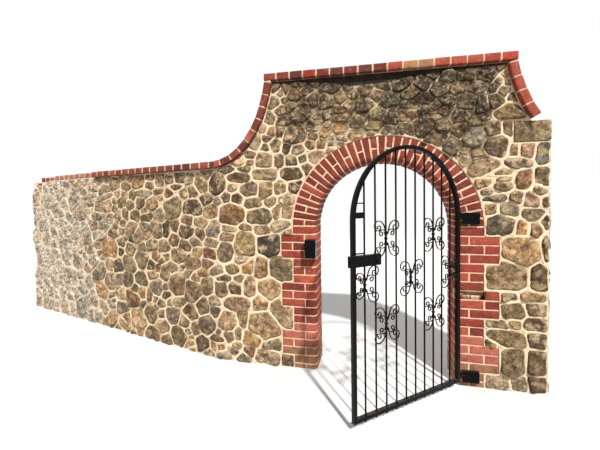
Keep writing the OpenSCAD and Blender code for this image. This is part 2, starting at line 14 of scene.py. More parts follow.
import bpy
import numpy as np
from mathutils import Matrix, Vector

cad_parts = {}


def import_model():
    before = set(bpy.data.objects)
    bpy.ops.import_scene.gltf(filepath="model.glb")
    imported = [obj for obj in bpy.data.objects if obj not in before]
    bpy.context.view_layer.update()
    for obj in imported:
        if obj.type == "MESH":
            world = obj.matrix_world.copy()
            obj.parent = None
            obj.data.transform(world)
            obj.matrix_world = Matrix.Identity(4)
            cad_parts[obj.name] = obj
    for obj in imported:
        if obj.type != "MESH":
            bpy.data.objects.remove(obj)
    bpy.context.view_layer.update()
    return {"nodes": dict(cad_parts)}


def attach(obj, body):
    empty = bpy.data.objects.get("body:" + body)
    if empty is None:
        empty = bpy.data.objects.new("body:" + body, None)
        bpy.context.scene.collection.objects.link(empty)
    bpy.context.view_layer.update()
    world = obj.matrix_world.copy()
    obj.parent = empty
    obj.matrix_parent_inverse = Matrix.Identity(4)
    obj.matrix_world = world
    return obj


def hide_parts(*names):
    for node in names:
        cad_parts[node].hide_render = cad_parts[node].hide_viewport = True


LOG = logging.getLogger("garden_wall")

Array = np.ndarray
Colour = tuple[float, float, float]
Tint = tuple[float, float, float]
Place = tuple[float, float, float]
Clip = Callable[[Array], Array]
Axes = tuple[Array, Array, Array, Array]
Socket = bpy.types.NodeSocket
Material = bpy.types.Material

MASKS = ("rim", "weather", "lime")


# ---------------------------------------------------------------- sizes and frames


@dataclass(frozen=True)
class WallSize:
    """Sizes of the wall, in metres, from the doorway's centre and the front face."""

    door_half: float = 0.58
    spring: float = 1.305
    jamb_top: float = 1.325
    thick: float = 0.3275
    high_left: float = 1.02
    high_right: float = 1.0
    end_right: float = 1.25
    bend: float = 1.55
    bend_angle: float = math.radians(15.0)
    high: float = 2.645
    high_end: float = 0.01
    fall: float = math.atan(0.035 / 2.02)
    low: float = 1.875
    low_run: float = 3.65
    ring_depth: float = 0.215
    sweep_a: float = 0.61276
    sweep_b: float = 0.93048
    sweep_mid: float = 2.83798
    sweep_left: float = -1.6
    sweep_right: float = 1.57438
    sweep_turn: float = 77.4
    right_turn: float = 75.18
    right_foot: float = 44.56
    right_stop: float = 2.15
    quoin_x: float = 1.0
    quoin_low: float = 1.985
    over: float = 0.05125


@dataclass(frozen=True)
class BrickSize:
    """A common brick and its joints, in metres."""

    length: float = 0.215
    width: float = 0.1025
    height: float = 0.065
    joint: float = 0.01
    course: float = 0.075
    courses: int = 18
    foot: float = -0.025
    recess: float = 0.0034
    nose: float = 0.045
    arris: float = 0.0035
    worn: float = 0.003


WALL = WallSize()
BRICK = BrickSize()
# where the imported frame's origin lies, from the doorway's centre and the front face
DATUM = np.array([0.6875, 0.16375, 0.0])


@dataclass(frozen=True)
class Face:
    """A flat face of masonry: a point of it is origin + u * along + v * up + h * out."""

    origin: tuple[float, float, float]
    along: tuple[float, float, float]
    out: tuple[float, float, float]
    up: tuple[float, float, float] = (0.0, 0.0, 1.0)

    def place(self, u: Array, v: Array, h: Array) -> Array:
        """Gives the points at distances u along, v up and h out of the face.

        Args:
            u: distances along the face.
            v: heights.
            h: distances out of the face.

        Returns:
            The points, one row each.
        """
        parts = [np.asarray(a, float)[..., None] for a in (u, v, h)]
        axes = [np.array(a) for a in (self.along, self.up, self.out)]
        return np.array(self.origin) - DATUM + sum(p * a for p, a in zip(parts, axes))

    def flipped(self) -> bool:
        """Tells whether u to v turns the wrong way round for a face that looks outward."""
        return float(np.dot(np.cross(self.along, self.up), self.out)) < 0


@dataclass(frozen=True)
class Fold:
    """Two flat faces that meet at an upright turn, with one distance along both."""

    left: Face
    right: Face
    turn: float

    def place(self, u: Array, v: Array, h: Array) -> Array:
        """Gives the points at distances u along, v up and h out of whichever face they lie on."""
        u, v, h = (np.asarray(a, float) for a in (u, v, h))
        left, right = self.left.place(u - self.turn, v, h), self.right.place(u, v, h)
        return np.where((u >= self.turn)[..., None], right, left)

    def flipped(self) -> bool:
        """Tells whether u to v turns the wrong way round for a face that looks outward."""
        return self.right.flipped()


COS_B = math.cos(WALL.bend_angle)
SIN_B = math.sin(WALL.bend_angle)
HIGH_FRONT = Face((0, 0, 0), (1, 0, 0), (0, -1, 0))
HIGH_BACK = Face((0, WALL.thick, 0), (1, 0, 0), (0, 1, 0))
LOW_FRONT = Face((-WALL.bend, 0, 0), (COS_B, -SIN_B, 0), (-SIN_B, -COS_B, 0))
FRONT = Fold(LOW_FRONT, HIGH_FRONT, -WALL.bend)
LOW_BACK = Face((-WALL.bend + SIN_B * WALL.thick, COS_B * WALL.thick, 0), (COS_B, -SIN_B, 0),
                (SIN_B, COS_B, 0))
RIGHT_END = Face((WALL.end_right, 0, 0), (0, 1, 0), (1, 0, 0))


# ---------------------------------------------------------------- colour and noise


def clamp(value: float) -> float:
    """Holds a value between 0 and 1."""
    return min(max(value, 0.0), 1.0)


def linear(colour: Sequence[float]) -> Colour:
    """Turns a screen colour of 0 to 255 into linear light."""
    out = []
    for c in colour:
        c = c / 255.0
        out.append(c / 12.92 if c <= 0.04045 else ((c + 0.055) / 1.055) ** 2.4)
    return out[0], out[1], out[2]


class Tone(Enum):
    """Kinds of stone in the wall, each by its screen colour."""

    TAN = (184, 154, 118)
    CREAM = (216, 192, 162)
    OCHRE = (188, 144, 98)
    BROWN = (154, 124, 92)
    OLIVE = (144, 122, 88)
    UMBER = (146, 106, 74)
    # also used as painted shade for the stones at the right end of the doorway wall
    DARK = (106, 86, 64)
    GREY = (154, 138, 114)
    SLATE = (124, 110, 90)
    PINK = (188, 150, 122)
    MAUVE = (172, 148, 128)


PRIMES = (374761393, 668265263, 2147483647)
STIR = 1274126177
LOW_BITS = 0xFFFFFF


def lattice(points: Array, seed: int) -> Array:
    """Gives each whole-number point of a lattice its own steady value from 0 to 1."""
    h = points[..., 0] * PRIMES[0] + points[..., 1] * PRIMES[1] + points[..., 2] * PRIMES[2] + seed * STIR
    h = (h ^ (h >> 13)) * STIR
    h = h ^ (h >> 16)
    return (h & LOW_BITS) / float(LOW_BITS)


def noise(points: Array, scale: float, seed: int = 0) -> Array:
    """Gives smooth noise from -1 to 1.

    Args:
        points: places in metres, one row each.
        scale: bumps to the metre.
        seed: picks another pattern.

    Returns:
        One value a point.
    """
    p = points * scale
    cell = np.floor(p).astype(np.int64)
    part = p - cell
    part = part * part * (3 - 2 * part)
    total = np.zeros(p.shape[:-1])
    for corner in np.ndindex(2, 2, 2):
        c = np.array(corner)
        weight = np.prod(np.where(c, part, 1 - part), axis=-1)
        total += weight * lattice(cell + c, seed)
    return total * 2 - 1


# ---------------------------------------------------------------- joined meshes


@dataclass
class Solids:
    """Many small closed solids gathered into one mesh, with a tint and masks on each point."""

    points: list[Array] = field(default_factory=list)
    faces: list[tuple[Array, Array]] = field(default_factory=list)
    tints: list[Array] = field(default_factory=list)
    masks: list[Array] = field(default_factory=list)
    count: int = 0

    def tube(self, rings: Array, tint: Sequence[float], rim: Array | float = 0.0, weather: float = 0.0,
             lime: float = 0.0, flip: bool = False, open_start: bool = False, open_end: bool = False,
             peak: Array | None = None) -> None:
        """Adds a solid from rings of points laid one after the other, kept above the ground.

        Args:
            rings: the points, as ring by point by 3.
            tint: the solid's own screen colour.
            rim: how near each ring is to an edge, from 0 to 1.
            weather: how weathered the solid is, from 0 to 1.
            lime: how much mortar is smeared on it, from 0 to 1.
            flip: turns the faces round.
            open_start: leaves the first ring without its end face.
            open_end: leaves the last ring without its end face.
            peak: the point that closes the last ring; its middle if None.
        """
        m, n = rings.shape[:2]
        ends = [] if open_start else [rings[0].mean(0)]
        if not open_end:
            ends.append(rings[-1].mean(0) if peak is None else peak)
        points = np.vstack([rings.reshape(-1, 3), np.array(ends).reshape(-1, 3)])
        points[:, 2] = np.maximum(points[:, 2], 0.0)
        i = np.arange(n)
        j = (i + 1) % n
        quads = np.concatenate([np.stack([r * n + i, r * n + j, (r + 1) * n + j, (r + 1) * n + i], 1)
                                for r in range(m - 1)])
        last = (m - 1) * n
        tris = [np.zeros((0, 3), int)]
        if not open_end:
            tris.append(np.stack([last + i, last + j, np.full(n, len(points) - 1)], 1))
        if not open_start:
            tris.append(np.stack([j, i, np.full(n, m * n)], 1))
        tri = np.concatenate(tris)
        if flip:
            quads, tri = quads[:, ::-1], tri[:, ::-1]
        self.points.append(points)
        self.faces.append((quads + self.count, tri + self.count))
        self.count += len(points)
        rims = np.broadcast_to(np.asarray(rim, float), (m,)) if np.ndim(rim) < 2 else rim
        spread = np.repeat(rims, n) if rims.ndim == 1 else rims.reshape(-1)
        tail = [float(spread[:n].mean())] * (not open_start) + [float(spread[-n:].mean())] * (not open_end)
        mask = np.zeros((len(points), 3))
        mask[:, 0] = np.concatenate([spread, tail])
        mask[:, 1] = weather
        mask[:, 2] = lime
        self.masks.append(mask)
        colour = np.ones((len(points), 4))
        colour[:, :3] = linear(tint)
        self.tints.append(colour)

    def build(self, name: str, finish: Material, body: str, slot: str, sharp: float) -> bpy.types.Object:
        """Makes the mesh, gives it its finish and lets it ride on its body.

        Args:
            name: the piece's name.
            finish: its material.
            body: the body that carries it.
            slot: not used.
            sharp: the angle, in degrees, from which an edge shows as a crease.

        Returns:
            The new object.
        """
        points = np.concatenate(self.points)
        quads = np.concatenate([q for q, _ in self.faces])
        tris = np.concatenate([t for _, t in self.faces])
        mesh = bpy.data.meshes.new(name)
        mesh.vertices.add(len(points))
        mesh.vertices.foreach_set("co", points.astype(np.float32).ravel())
        loops = np.concatenate([quads.ravel(), tris.ravel()]).astype(np.int32)
        mesh.loops.add(len(loops))
        mesh.loops.foreach_set("vertex_index", loops)
        starts = np.concatenate([np.arange(len(quads)) * 4, len(quads) * 4 + np.arange(len(tris)) * 3])
        mesh.polygons.add(len(starts))
        mesh.polygons.foreach_set("loop_start", starts.astype(np.int32))
        mesh.polygons.foreach_set("use_smooth", np.ones(len(starts), bool))
        mesh.update(calc_edges=True)
        mesh.validate()
        mesh.set_sharp_from_angle(angle=math.radians(sharp))
        tint = mesh.attributes.new("tint", "FLOAT_COLOR", "POINT")
        tint.data.foreach_set("color", np.concatenate(self.tints).astype(np.float32).ravel())
        mask = np.concatenate(self.masks).astype(np.float32)
        for k, label in enumerate(MASKS):
            layer = mesh.attributes.new(label, "FLOAT", "POINT")
            layer.data.foreach_set("value", np.ascontiguousarray(mask[:, k]))
        mesh.materials.append(finish)
        piece = bpy.data.objects.new(name, mesh)
        bpy.context.scene.collection.objects.link(piece)
        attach(piece, body)
        LOG.info("%s: %d points, %d triangles", name, len(points), 2 * len(quads) + len(tris))
        return piece


# ---------------------------------------------------------------- finishes


class Graph:
    """A node tree with short calls for the nodes that the finishes share."""

    def __init__(self, tree: bpy.types.NodeTree) -> None:
        """Keeps the tree that the calls add to."""
        self.tree = tree

    def add(self, kind: str, inputs: dict[str | int, object] | None = None,
            **values: object) -> bpy.types.Node:
        """Adds a node, sets its properties by name and feeds its inputs."""
        node = self.tree.nodes.new(kind)
        for name, value in values.items():
            setattr(node, name, value)
        for name, value in (inputs or {}).items():
            self.feed(node.inputs[name], value)
        return node

    def feed(self, socket: Socket, value: object) -> None:
        """Links a socket to another, or sets its value."""
        if isinstance(value, bpy.types.NodeSocket):
            self.tree.links.new(value, socket)
        elif isinstance(value, tuple) and len(value) == 3 and socket.type == "RGBA":
            socket.default_value = (*value, 1.0)
        else:
            socket.default_value = value

    def place(self) -> Socket:
        """Gives the place on the object."""
        return self.add("ShaderNodeTexCoord").outputs["Object"]

    def axes(self, vector: Socket) -> tuple[Socket, Socket, Socket]:
        """Splits a vector into its three values."""
        parts = self.add("ShaderNodeSeparateXYZ", {0: vector}).outputs
        return parts["X"], parts["Y"], parts["Z"]

    def noise(self, place: Socket, scale: float, detail: float = 3.0, rough: float = 0.55) -> Socket:
        """Gives the value of a noise texture."""
        inputs = {"Vector": place, "Scale": scale, "Detail": detail, "Roughness": rough}
        return self.add("ShaderNodeTexNoise", inputs).outputs["Fac"]

    def cells(self, place: Socket, scale: float, output: str = "Distance", feature: str = "F1") -> Socket:
        """Gives the distance or the own value of a cell texture."""
        inputs = {"Vector": place, "Scale": scale}
        return self.add("ShaderNodeTexVoronoi", inputs, feature=feature).outputs[output]

    def bend(self, place: Socket, scale: float, by: float) -> Socket:
        """Shifts a place by smooth noise."""
        wave = self.add("ShaderNodeTexNoise", {"Vector": place, "Scale": scale, "Detail": 3.0})
        inputs = {0: wave.outputs["Color"], 1: (by, by, by), 2: place}
        return self.add("ShaderNodeVectorMath", inputs, operation="MULTIPLY_ADD").outputs["Vector"]

    def span(self, value: Socket, low: float, high: float, to_low: float = 0.0,
             to_high: float = 1.0) -> Socket:
        """Maps a value from one span to another, and holds it at the ends."""
        inputs = {"Value": value, "From Min": low, "From Max": high, "To Min": to_low, "To Max": to_high}
        return self.add("ShaderNodeMapRange", inputs, interpolation_type="SMOOTHSTEP").outputs["Result"]

    def math(self, kind: str, a: object, b: object = 0.0) -> Socket:
        """Joins two values by a named sum."""
        return self.add("ShaderNodeMath", {0: a, 1: b}, operation=kind).outputs[0]

    def times(self, a: object, b: object) -> Socket:
        """Multiplies two values."""
        return self.math("MULTIPLY", a, b)

    def plus(self, a: object, b: object) -> Socket:
        """Adds two values."""
        return self.math("ADD", a, b)

    def mix(self, factor: object, a: object, b: object, kind: str = "MIX") -> Socket:
        """Mixes two colours."""
        inputs = {"Factor": factor, "A": a, "B": b}
        return self.add("ShaderNodeMix", inputs, data_type="RGBA", blend_type=kind).outputs["Result"]

    def cover(self, under: object, over: Sequence[float], mask: object, part: object) -> Socket:
        """Lays a screen colour over another by a mask and a part of it."""
        return self.mix(self.times(mask, part), under, linear(over))

    def shade(self, colour: Socket, by: object) -> Socket:
        """Multiplies a colour by a value."""
        return self.mix(1.0, colour, (by, by, by) if isinstance(by, float) else by, "MULTIPLY")

    def attribute(self, name: str, output: str = "Fac") -> Socket:
        """Reads a point attribute of the mesh."""
        return self.add("ShaderNodeAttribute", attribute_name=name).outputs[output]


class Effect:
    """A shader node group that is built once and used by several finishes."""

    def __init__(self, name: str, inputs: dict[str, str], outputs: dict[str, str]) -> None:
        """Makes the empty group.

        Args:
            name: the group's name.
            inputs: socket names and kinds that go in.
            outputs: socket names and kinds that come out.
        """
        self.tree = bpy.data.node_groups.new(name, "ShaderNodeTree")
        for way, sockets in (("INPUT", inputs), ("OUTPUT", outputs)):
            for label, kind in sockets.items():
                self.tree.interface.new_socket(label, in_out=way, socket_type=kind)
        self.graph = Graph(self.tree)
        self.source = self.graph.add("NodeGroupInput").outputs
        self.sink = self.graph.add("NodeGroupOutput").inputs

    def put(self, **values: Socket) -> None:
        """Feeds what comes out of the group."""
        for label, value in values.items():
            self.graph.feed(self.sink[label], value)

    def use(self, graph: Graph, **values: object) -> bpy.types.bpy_prop_collection:
        """Adds the group to a finish, feeds its inputs and gives what comes out."""
        return graph.add("ShaderNodeGroup", values, node_tree=self.tree).outputs


VALUE = "NodeSocketFloat"
COLOUR = "NodeSocketColor"
VECTOR = "NodeSocketVector"


class Stain(Enum):
    """What weather and wear lay over a finish, and the painted shade in cracks and under the high coping, each
    by its screen colour.
    """

    GROWTH = (54, 44, 34)
    BLEACH = (210, 182, 144)
    MOSS = (104, 102, 62)
    LICHEN = (196, 184, 152)
    LIME = (226, 216, 200)
    PIT = (74, 62, 50)
    # painted shade: near-black for the shade inside the cracks between flakes
    CRACK = (34, 27, 20)
    # painted shade: near-black for the coping's shadow in the recess under the high coping
    HOLLOW = (26, 21, 17)
    RUST = (98, 58, 36)


def grain_effect() -> Effect:
    """Builds the grain, pits, flakes and cracks of stone, brick and mortar, each from 0 to 1."""
    outputs = dict.fromkeys(("Height", "Mottle", "Speck", "Flake", "Crack"), VALUE)
    effect = Effect("grain", {"Place": VECTOR}, outputs)
    g = effect.graph
    place = effect.source["Place"]
    height = g.times(g.noise(place, 22.0, 4.0, 0.6), 0.6)
    height = g.plus(height, g.times(g.noise(place, 110.0, 5.0, 0.65), 0.35))
    pits = g.span(g.cells(place, 90.0), 0.0, 0.35)
    bent = g.bend(place, 20.0, 0.05)
    edge = g.cells(bent, 24.0, "Distance", "DISTANCE_TO_EDGE")
    effect.put(Height=g.times(height, g.span(pits, 0.0, 1.0, 0.82, 1.0)),
               Mottle=g.span(g.noise(place, 26.0, 8.0, 0.72), 0.34, 0.66),
               Speck=g.span(g.noise(place, 260.0, 2.0, 0.5), 0.38, 0.62),
               Flake=g.cells(bent, 30.0, "Color"),
               Crack=g.span(edge, 0.0, 0.07, 1.0, 0.0))
    return effect


def weather_effect() -> Effect:
    """Builds the weathering: dark growth, pale lichen and smeared lime over a colour, by masks."""
    masks = ("Rim", "Weather", "Lime", "Age")
    effect = Effect("weathering", {"Place": VECTOR, "Colour": COLOUR, **dict.fromkeys(masks, VALUE)},
                    {"Colour": COLOUR, "Crust": VALUE})
    g = effect.graph
    place, colour, rim, weather, lime, age = (effect.source[k] for k in ("Place", "Colour", *masks))
    region = g.noise(place, 2.4)
    stained = g.math("MAXIMUM", weather, g.times(age, 0.6))
    dark = g.span(g.noise(place, 17.0, 8.0, 0.75), 0.45, 0.6)
    dark = g.times(dark, g.times(stained, g.span(region, 0.38, 0.58, 0.7, 1.15)))
    colour = g.cover(colour, Stain.GROWTH.value, dark, 0.85)
    bleach = g.times(g.span(g.noise(place, 10.0, 6.0, 0.7), 0.5, 0.62), g.span(region, 0.6, 0.42, 0.45, 0.9))
    colour = g.cover(colour, Stain.BLEACH.value, bleach, age)
    moss = g.times(g.span(g.noise(place, 7.0, 5.0, 0.65), 0.55, 0.7), weather)
    colour = g.cover(colour, Stain.MOSS.value, moss, 0.5)
    spots = g.span(g.plus(g.noise(place, 34.0, 7.0, 0.72), g.times(weather, 0.03)), 0.57, 0.65)
    spots = g.times(spots, g.span(weather, 0.0, 0.8, 0.3, 1.0))
    colour = g.cover(colour, Stain.LICHEN.value, spots, 0.72)
    smear = g.plus(g.noise(place, 15.0, 5.0, 0.65), g.times(rim, 0.12))
    smear = g.span(g.plus(smear, g.times(lime, 0.55)), 0.9, 1.06)
    colour = g.cover(colour, Stain.LIME.value, smear, 0.9)
    pits = g.times(g.span(g.noise(place, 28.0, 6.0, 0.75), 0.55, 0.62), g.span(lime, 0.15, 0.6))
    colour = g.cover(colour, Stain.PIT.value, pits, 0.9)
    effect.put(Colour=colour, Crust=g.math("MAXIMUM", smear, spots))
    return effect


@dataclass
class Effects:
    """The shared effects, built once for all the finishes."""

    grain: Effect = field(default_factory=grain_effect)
    weather: Effect = field(default_factory=weather_effect)


@dataclass
class Work:
    """A finish in the making: its material, graph and shader, the place on it and the grain there."""

    material: Material
    graph: Graph
    shader: bpy.types.Node
    place: Socket
    grain: bpy.types.bpy_prop_collection


@dataclass(frozen=True)
class Finish:
    """What every finish has: a name, a roughness span, a specular level and the depth of its bump."""

    name: str
    rough: tuple[float, float] = (0.8, 0.95)
    depth: float = 0.004
    strength: float = 0.7
    specular: float = 0.3

    def start(self, effects: Effects) -> Work:
        """Makes an empty material with its shader and the shared grain."""
        material = bpy.data.materials.new(self.name)
        material.use_nodes = True
        material.node_tree.nodes.clear()
        graph = Graph(material.node_tree)
        shader = graph.add("ShaderNodeBsdfPrincipled", {"Specular IOR Level": self.specular})
        graph.add("ShaderNodeOutputMaterial", {"Surface": shader.outputs["BSDF"]})
        place = graph.place()
        return Work(material, graph, shader, place, effects.grain.use(graph, Place=place))

    def close(self, work: Work, colour: Socket, rough: Socket, height: Socket) -> Material:
        """Feeds the shader its colour, roughness and bump.

        Args:
            work: the finish in the making.
            colour: its colour.
            rough: its roughness.
            height: the height that its bump follows.

        Returns:
            The finished material.
        """
        inputs = {"Strength": self.strength, "Distance": self.depth, "Height": height}
        bump = work.graph.add("ShaderNodeBump", inputs).outputs["Normal"]
        for label, value in (("Base Color", colour), ("Roughness", rough), ("Normal", bump)):
            work.graph.feed(work.shader.inputs[label], value)
        return work.material


@dataclass(frozen=True)
class Masonry(Finish):
    """Stone or brick: each solid's own tint, mottled, specked, stained and weathered, with painted shade in
    its cracks.
    """

    stain: Colour = (150, 112, 66)
    stain_part: float = 0.35
    contrast: float = 0.35
    speck: float = 0.25
    flake: float = 0.0
    age: float = 0.0

    def build(self, effects: Effects) -> Material:
        """Builds the material from the shared effects."""
        work = self.start(effects)
        g, place, grain = work.graph, work.place, work.grain
        tint = g.attribute("tint", "Color")
        low, high = g.shade(tint, 1.0 - self.contrast), g.shade(tint, 1.0 + self.contrast * 0.8)
        colour = g.mix(grain["Mottle"], low, high)
        stain = g.span(g.noise(place, 9.0, 4.0, 0.6), 0.5, 0.72)
        colour = g.cover(colour, self.stain, stain, self.stain_part)
        colour = g.shade(colour, g.span(grain["Speck"], 0.0, 1.0, 1.0 - self.speck, 1.0 + self.speck * 0.6))
        flake = self.flake * 0.5
        colour = g.shade(colour, g.span(grain["Flake"], 0.2, 0.8, 1.0 - flake, 1.0 + flake))
        # painted shade: the cracks between flakes are laid over with near-black, and also sunk in the bump
        split = g.times(grain["Crack"], g.span(g.noise(place, 16.0, 4.0), 0.46, 0.64))
        colour = g.cover(colour, Stain.CRACK.value, split, self.flake)
        masks = {name.title(): g.attribute(name) for name in MASKS}
        worn = effects.weather.use(g, Place=place, Colour=colour, Age=self.age, **masks)
        height = g.plus(grain["Height"], g.times(worn["Crust"], 0.12))
        height = g.plus(height, g.times(grain["Flake"], self.flake * 0.7))
        height = g.math("SUBTRACT", height, g.times(split, self.flake * 0.6))
        return self.close(work, worn["Colour"], g.span(grain["Mottle"], 0.0, 1.0, *self.rough), height)


@dataclass(frozen=True)
class Mortar(Finish):
    """Sandy mortar or pointing, dirtier where growth has taken hold high on the wall, with painted shade in
    the recess under the high coping.
    """

    specular: float = 0.25
    colour: Colour = (222, 194, 150)
    patch: Colour = (186, 160, 120)
    dirt: Colour = (88, 76, 58)
    soil: Colour = (138, 118, 90)
    dirt_from: float = 2.17
    dirt_full: float = 2.39
    dirt_and_shade_part: float = 0.0
    white: Colour = (232, 220, 200)
    white_from: float = -99.0
    white_full: float = -100.0

    def build(self, effects: Effects) -> Material:
        """Builds the material from the shared effects."""
        work = self.start(effects)
        g, place, grain = work.graph, work.place, work.grain
        x, _, z = g.axes(place)
        patch = g.span(g.noise(place, 4.5, 5.0, 0.6), 0.42, 0.68)
        colour = g.cover(linear(self.colour), self.patch, patch, 0.5)
        colour = g.cover(colour, self.white, g.span(x, self.white_from, self.white_full), 0.7)
        colour = g.shade(colour, g.span(grain["Speck"], 0.0, 1.0, 0.84, 1.1))
        colour = g.shade(colour, g.span(grain["Mottle"], 0.0, 1.0, 0.88, 1.06))
        patches = g.span(g.noise(place, 26.0, 5.0, 0.7), 0.4, 0.6)
        soiled = g.mix(patches, linear(self.dirt), linear(self.soil))
        colour = g.mix(g.times(self.dirty(g, place, x, z), self.dirt_and_shade_part), colour, soiled)
        # painted shade: near-black pointing in the recess under the high coping, where the coping's shadow
        # falls
        colour = g.cover(colour, Stain.HOLLOW.value, self.hollow(g, x, z), self.dirt_and_shade_part)
        height = g.plus(grain["Height"], g.times(g.noise(place, 60.0, 4.0, 0.6), 0.5))
        return self.close(work, colour, g.span(grain["Mottle"], 0.0, 1.0, *self.rough), height)

    def dirty(self, g: Graph, place: Socket, x: Socket, z: Socket) -> Socket:
        """Gives the mask of growth over the arch, which reaches lower to the right of the doorway."""
        high = g.plus(z, g.times(g.noise(place, 3.0, 4.0), 0.35))
        lower = g.math("ABSOLUTE", g.plus(x, DATUM[0] - 0.66))
        high = g.plus(high, g.span(lower, 0.5, 0.15, 0.0, 0.3))
        dirt = g.span(high, self.dirt_from, self.dirt_full)
        dirt = g.times(dirt, g.span(g.noise(place, 11.0, 5.0, 0.7), 0.36, 0.54, 0.25, 1.0))
        side = g.math("ABSOLUTE", g.plus(x, DATUM[0]))
        side = g.plus(side, g.times(g.noise(place, 6.0, 4.0), 0.3))
        return g.times(dirt, g.span(side, 1.04, 0.94))

    @staticmethod
    def hollow(g: Graph, x: Socket, z: Socket) -> Socket:
        """Gives the mask of the painted shade in the recess under the high coping, deepest a little left of
        the middle.
        """
        slope = math.tan(WALL.fall)
        top = WALL.high - (DATUM[0] + WALL.high_left + WALL.high_end) * slope
        down = g.math("SUBTRACT", top, g.plus(z, g.times(x, slope)))
        along = g.math("ABSOLUTE", g.plus(x, DATUM[0] + 0.12))
        depth = g.span(along, 0.25, 0.85, 0.088, 0.02)
        return g.span(g.math("SUBTRACT", down, depth), 0.012, -0.006)


@dataclass(frozen=True)
class IronPaint(Finish):
    """Black paint on wrought iron: brushed ripples, dust on upward faces and worn, rusty spots."""

    specular: float = 0.12
    coat: float = 0.01
    coat_rough: float = 0.25
    colour: Colour = (5, 5, 6)
    dust: Colour = (122, 112, 98)
    dust_part: float = 0.25
    rust_part: float = 0.3

    def build(self, effects: Effects) -> Material:
        """Builds the material from the shared effects."""
        work = self.start(effects)
        g, place = work.graph, work.place
        soft = g.noise(place, 30.0, 3.0, 0.5)
        lighter = tuple(c * 1.7 for c in self.colour)
        colour = g.mix(g.span(soft, 0.35, 0.7), linear(self.colour), linear(lighter))
        upward = g.axes(g.add("ShaderNodeNewGeometry").outputs["Normal"])[2]
        dusty = g.times(g.span(upward, 0.35, 0.95), g.span(g.noise(place, 24.0, 5.0, 0.7), 0.35, 0.65))
        colour = g.cover(colour, self.dust, dusty, self.dust_part)
        rust = g.span(g.noise(place, 17.0, 7.0, 0.75), 0.66, 0.73)
        colour = g.cover(colour, Stain.RUST.value, rust, self.rust_part)
        matt = g.plus(g.math("MAXIMUM", g.times(dusty, 0.6), rust), g.times(soft, 0.4))
        inputs = work.shader.inputs
        g.feed(inputs["Metallic"], g.times(g.span(rust, 0.0, 1.0, 1.0, 0.0), 0.25))
        g.feed(inputs["Coat Weight"], self.coat)
        g.feed(inputs["Coat Roughness"], self.coat_rough)
        height = g.plus(g.noise(place, 70.0, 2.0), g.times(work.grain["Speck"], 0.15))
        return self.close(work, colour, g.span(matt, 0.1, 1.1, *self.rough), height)


@dataclass
class Finishes:
    """All the finishes of the object, built once."""

    effects: Effects
    made: dict[str, Material] = field(default_factory=dict)

    def get(self, finish: Masonry | Mortar | IronPaint) -> Material:
        """Gives the material of a finish, and builds it the first time."""
        if finish.name not in self.made:
            self.made[finish.name] = finish.build(self.effects)
        return self.made[finish.name]


RUBBLE = Masonry("rubble_stone", depth=0.016, strength=1.0, contrast=0.62, speck=0.35, flake=0.6, age=1.0)
RED_BRICK = Masonry("red_brick", depth=0.0025, strength=0.6, stain=(92, 44, 38), stain_part=0.55,
                    contrast=0.2, speck=0.16)
# the pointing's dirt and shade part darkens both the growth high on the wall and the painted shade under the
# high coping
POINTING = Mortar("stone_pointing", depth=0.006, strength=0.8, colour=(250, 228, 194), patch=(230, 204, 164),
                  dirt=(74, 63, 49), dirt_and_shade_part=0.95, white_from=-3.7, white_full=-4.5)
BRICK_MORTAR = Mortar("brick_mortar", depth=0.003, strength=0.6, colour=(246, 212, 180),
                      patch=(230, 190, 156))
COPING_MORTAR = Mortar("coping_mortar", depth=0.003, strength=0.6, colour=(226, 198, 166),
                       patch=(190, 158, 128))
BLACK_PAINT = IronPaint("black_iron_paint", rough=(0.3, 0.75), depth=0.0006, strength=0.35)


# ---------------------------------------------------------------- rubble stones


@dataclass
class Stone:
    """One stone of a face: its middle, half sizes, turn and tone."""

    u: float
    v: float
    a: float
    b: float
    tone: Tone
    turn: float = 0.0


def sweep_top(x: Array, centre: float) -> Array:
    """Gives the height of the stone under a swept coping at a distance x from the doorway's centre."""
    reach = np.clip(np.abs(x - centre) / (WALL.sweep_a + BRICK.height / 2), 0, 1)
    return WALL.sweep_mid - (WALL.sweep_b + BRICK.height / 2) * np.sqrt(1 - reach * reach)


def high_top(x: Array) -> Array:
    """Gives the height of the high wall's top, which falls a little to the right."""
    return WALL.high - (x + WALL.high_left + WALL.high_end) * math.tan(WALL.fall)


def hollow_depth(x: Array) -> Array:
    """Gives the depth of the recess between the high coping and the stones under it, where the pointing is
    painted near-black as shade.
    """
    return 0.014 + 0.07 * np.exp(-((x + 0.12) / 0.42) ** 2)


def tooth(z: Array) -> Array:
    """Gives the width of a brick jamb at a height."""
    k = np.floor((z - BRICK.foot + BRICK.joint / 2) / BRICK.course)
    wide = (np.floor((BRICK.courses - 2 - k) / 3) % 2 == 0) & (k < BRICK.courses - 1)
    return np.where(wide, BRICK.length + BRICK.joint + BRICK.width, BRICK.length)


def high_region(u: Array, v: Array, gap: float) -> Array:
    """Tells which points of the doorway wall are stone, at least a gap from its edges."""
    side = np.abs(u)
    left, right = -WALL.bend - 0.5, WALL.end_right
    top = np.minimum(high_top(u), sweep_top(u, WALL.sweep_left))
    top = np.minimum(top, np.maximum(sweep_top(u, WALL.sweep_right), WALL.right_stop))
    inside = (u > left + gap) & (u < right - gap) & (v > gap * 0.3) & (v < top - gap)
    jamb = (side < WALL.door_half + tooth(v) + gap) & (v < WALL.jamb_top)
    ring = np.hypot(u, v - WALL.spring) < WALL.door_half + WALL.ring_depth + gap
    quoin = (u > WALL.quoin_x - gap) & (v > WALL.quoin_low - gap) & (v < WALL.right_stop + gap)
    return inside & ~jamb & ~((v >= WALL.jamb_top) & ring) & ~quoin


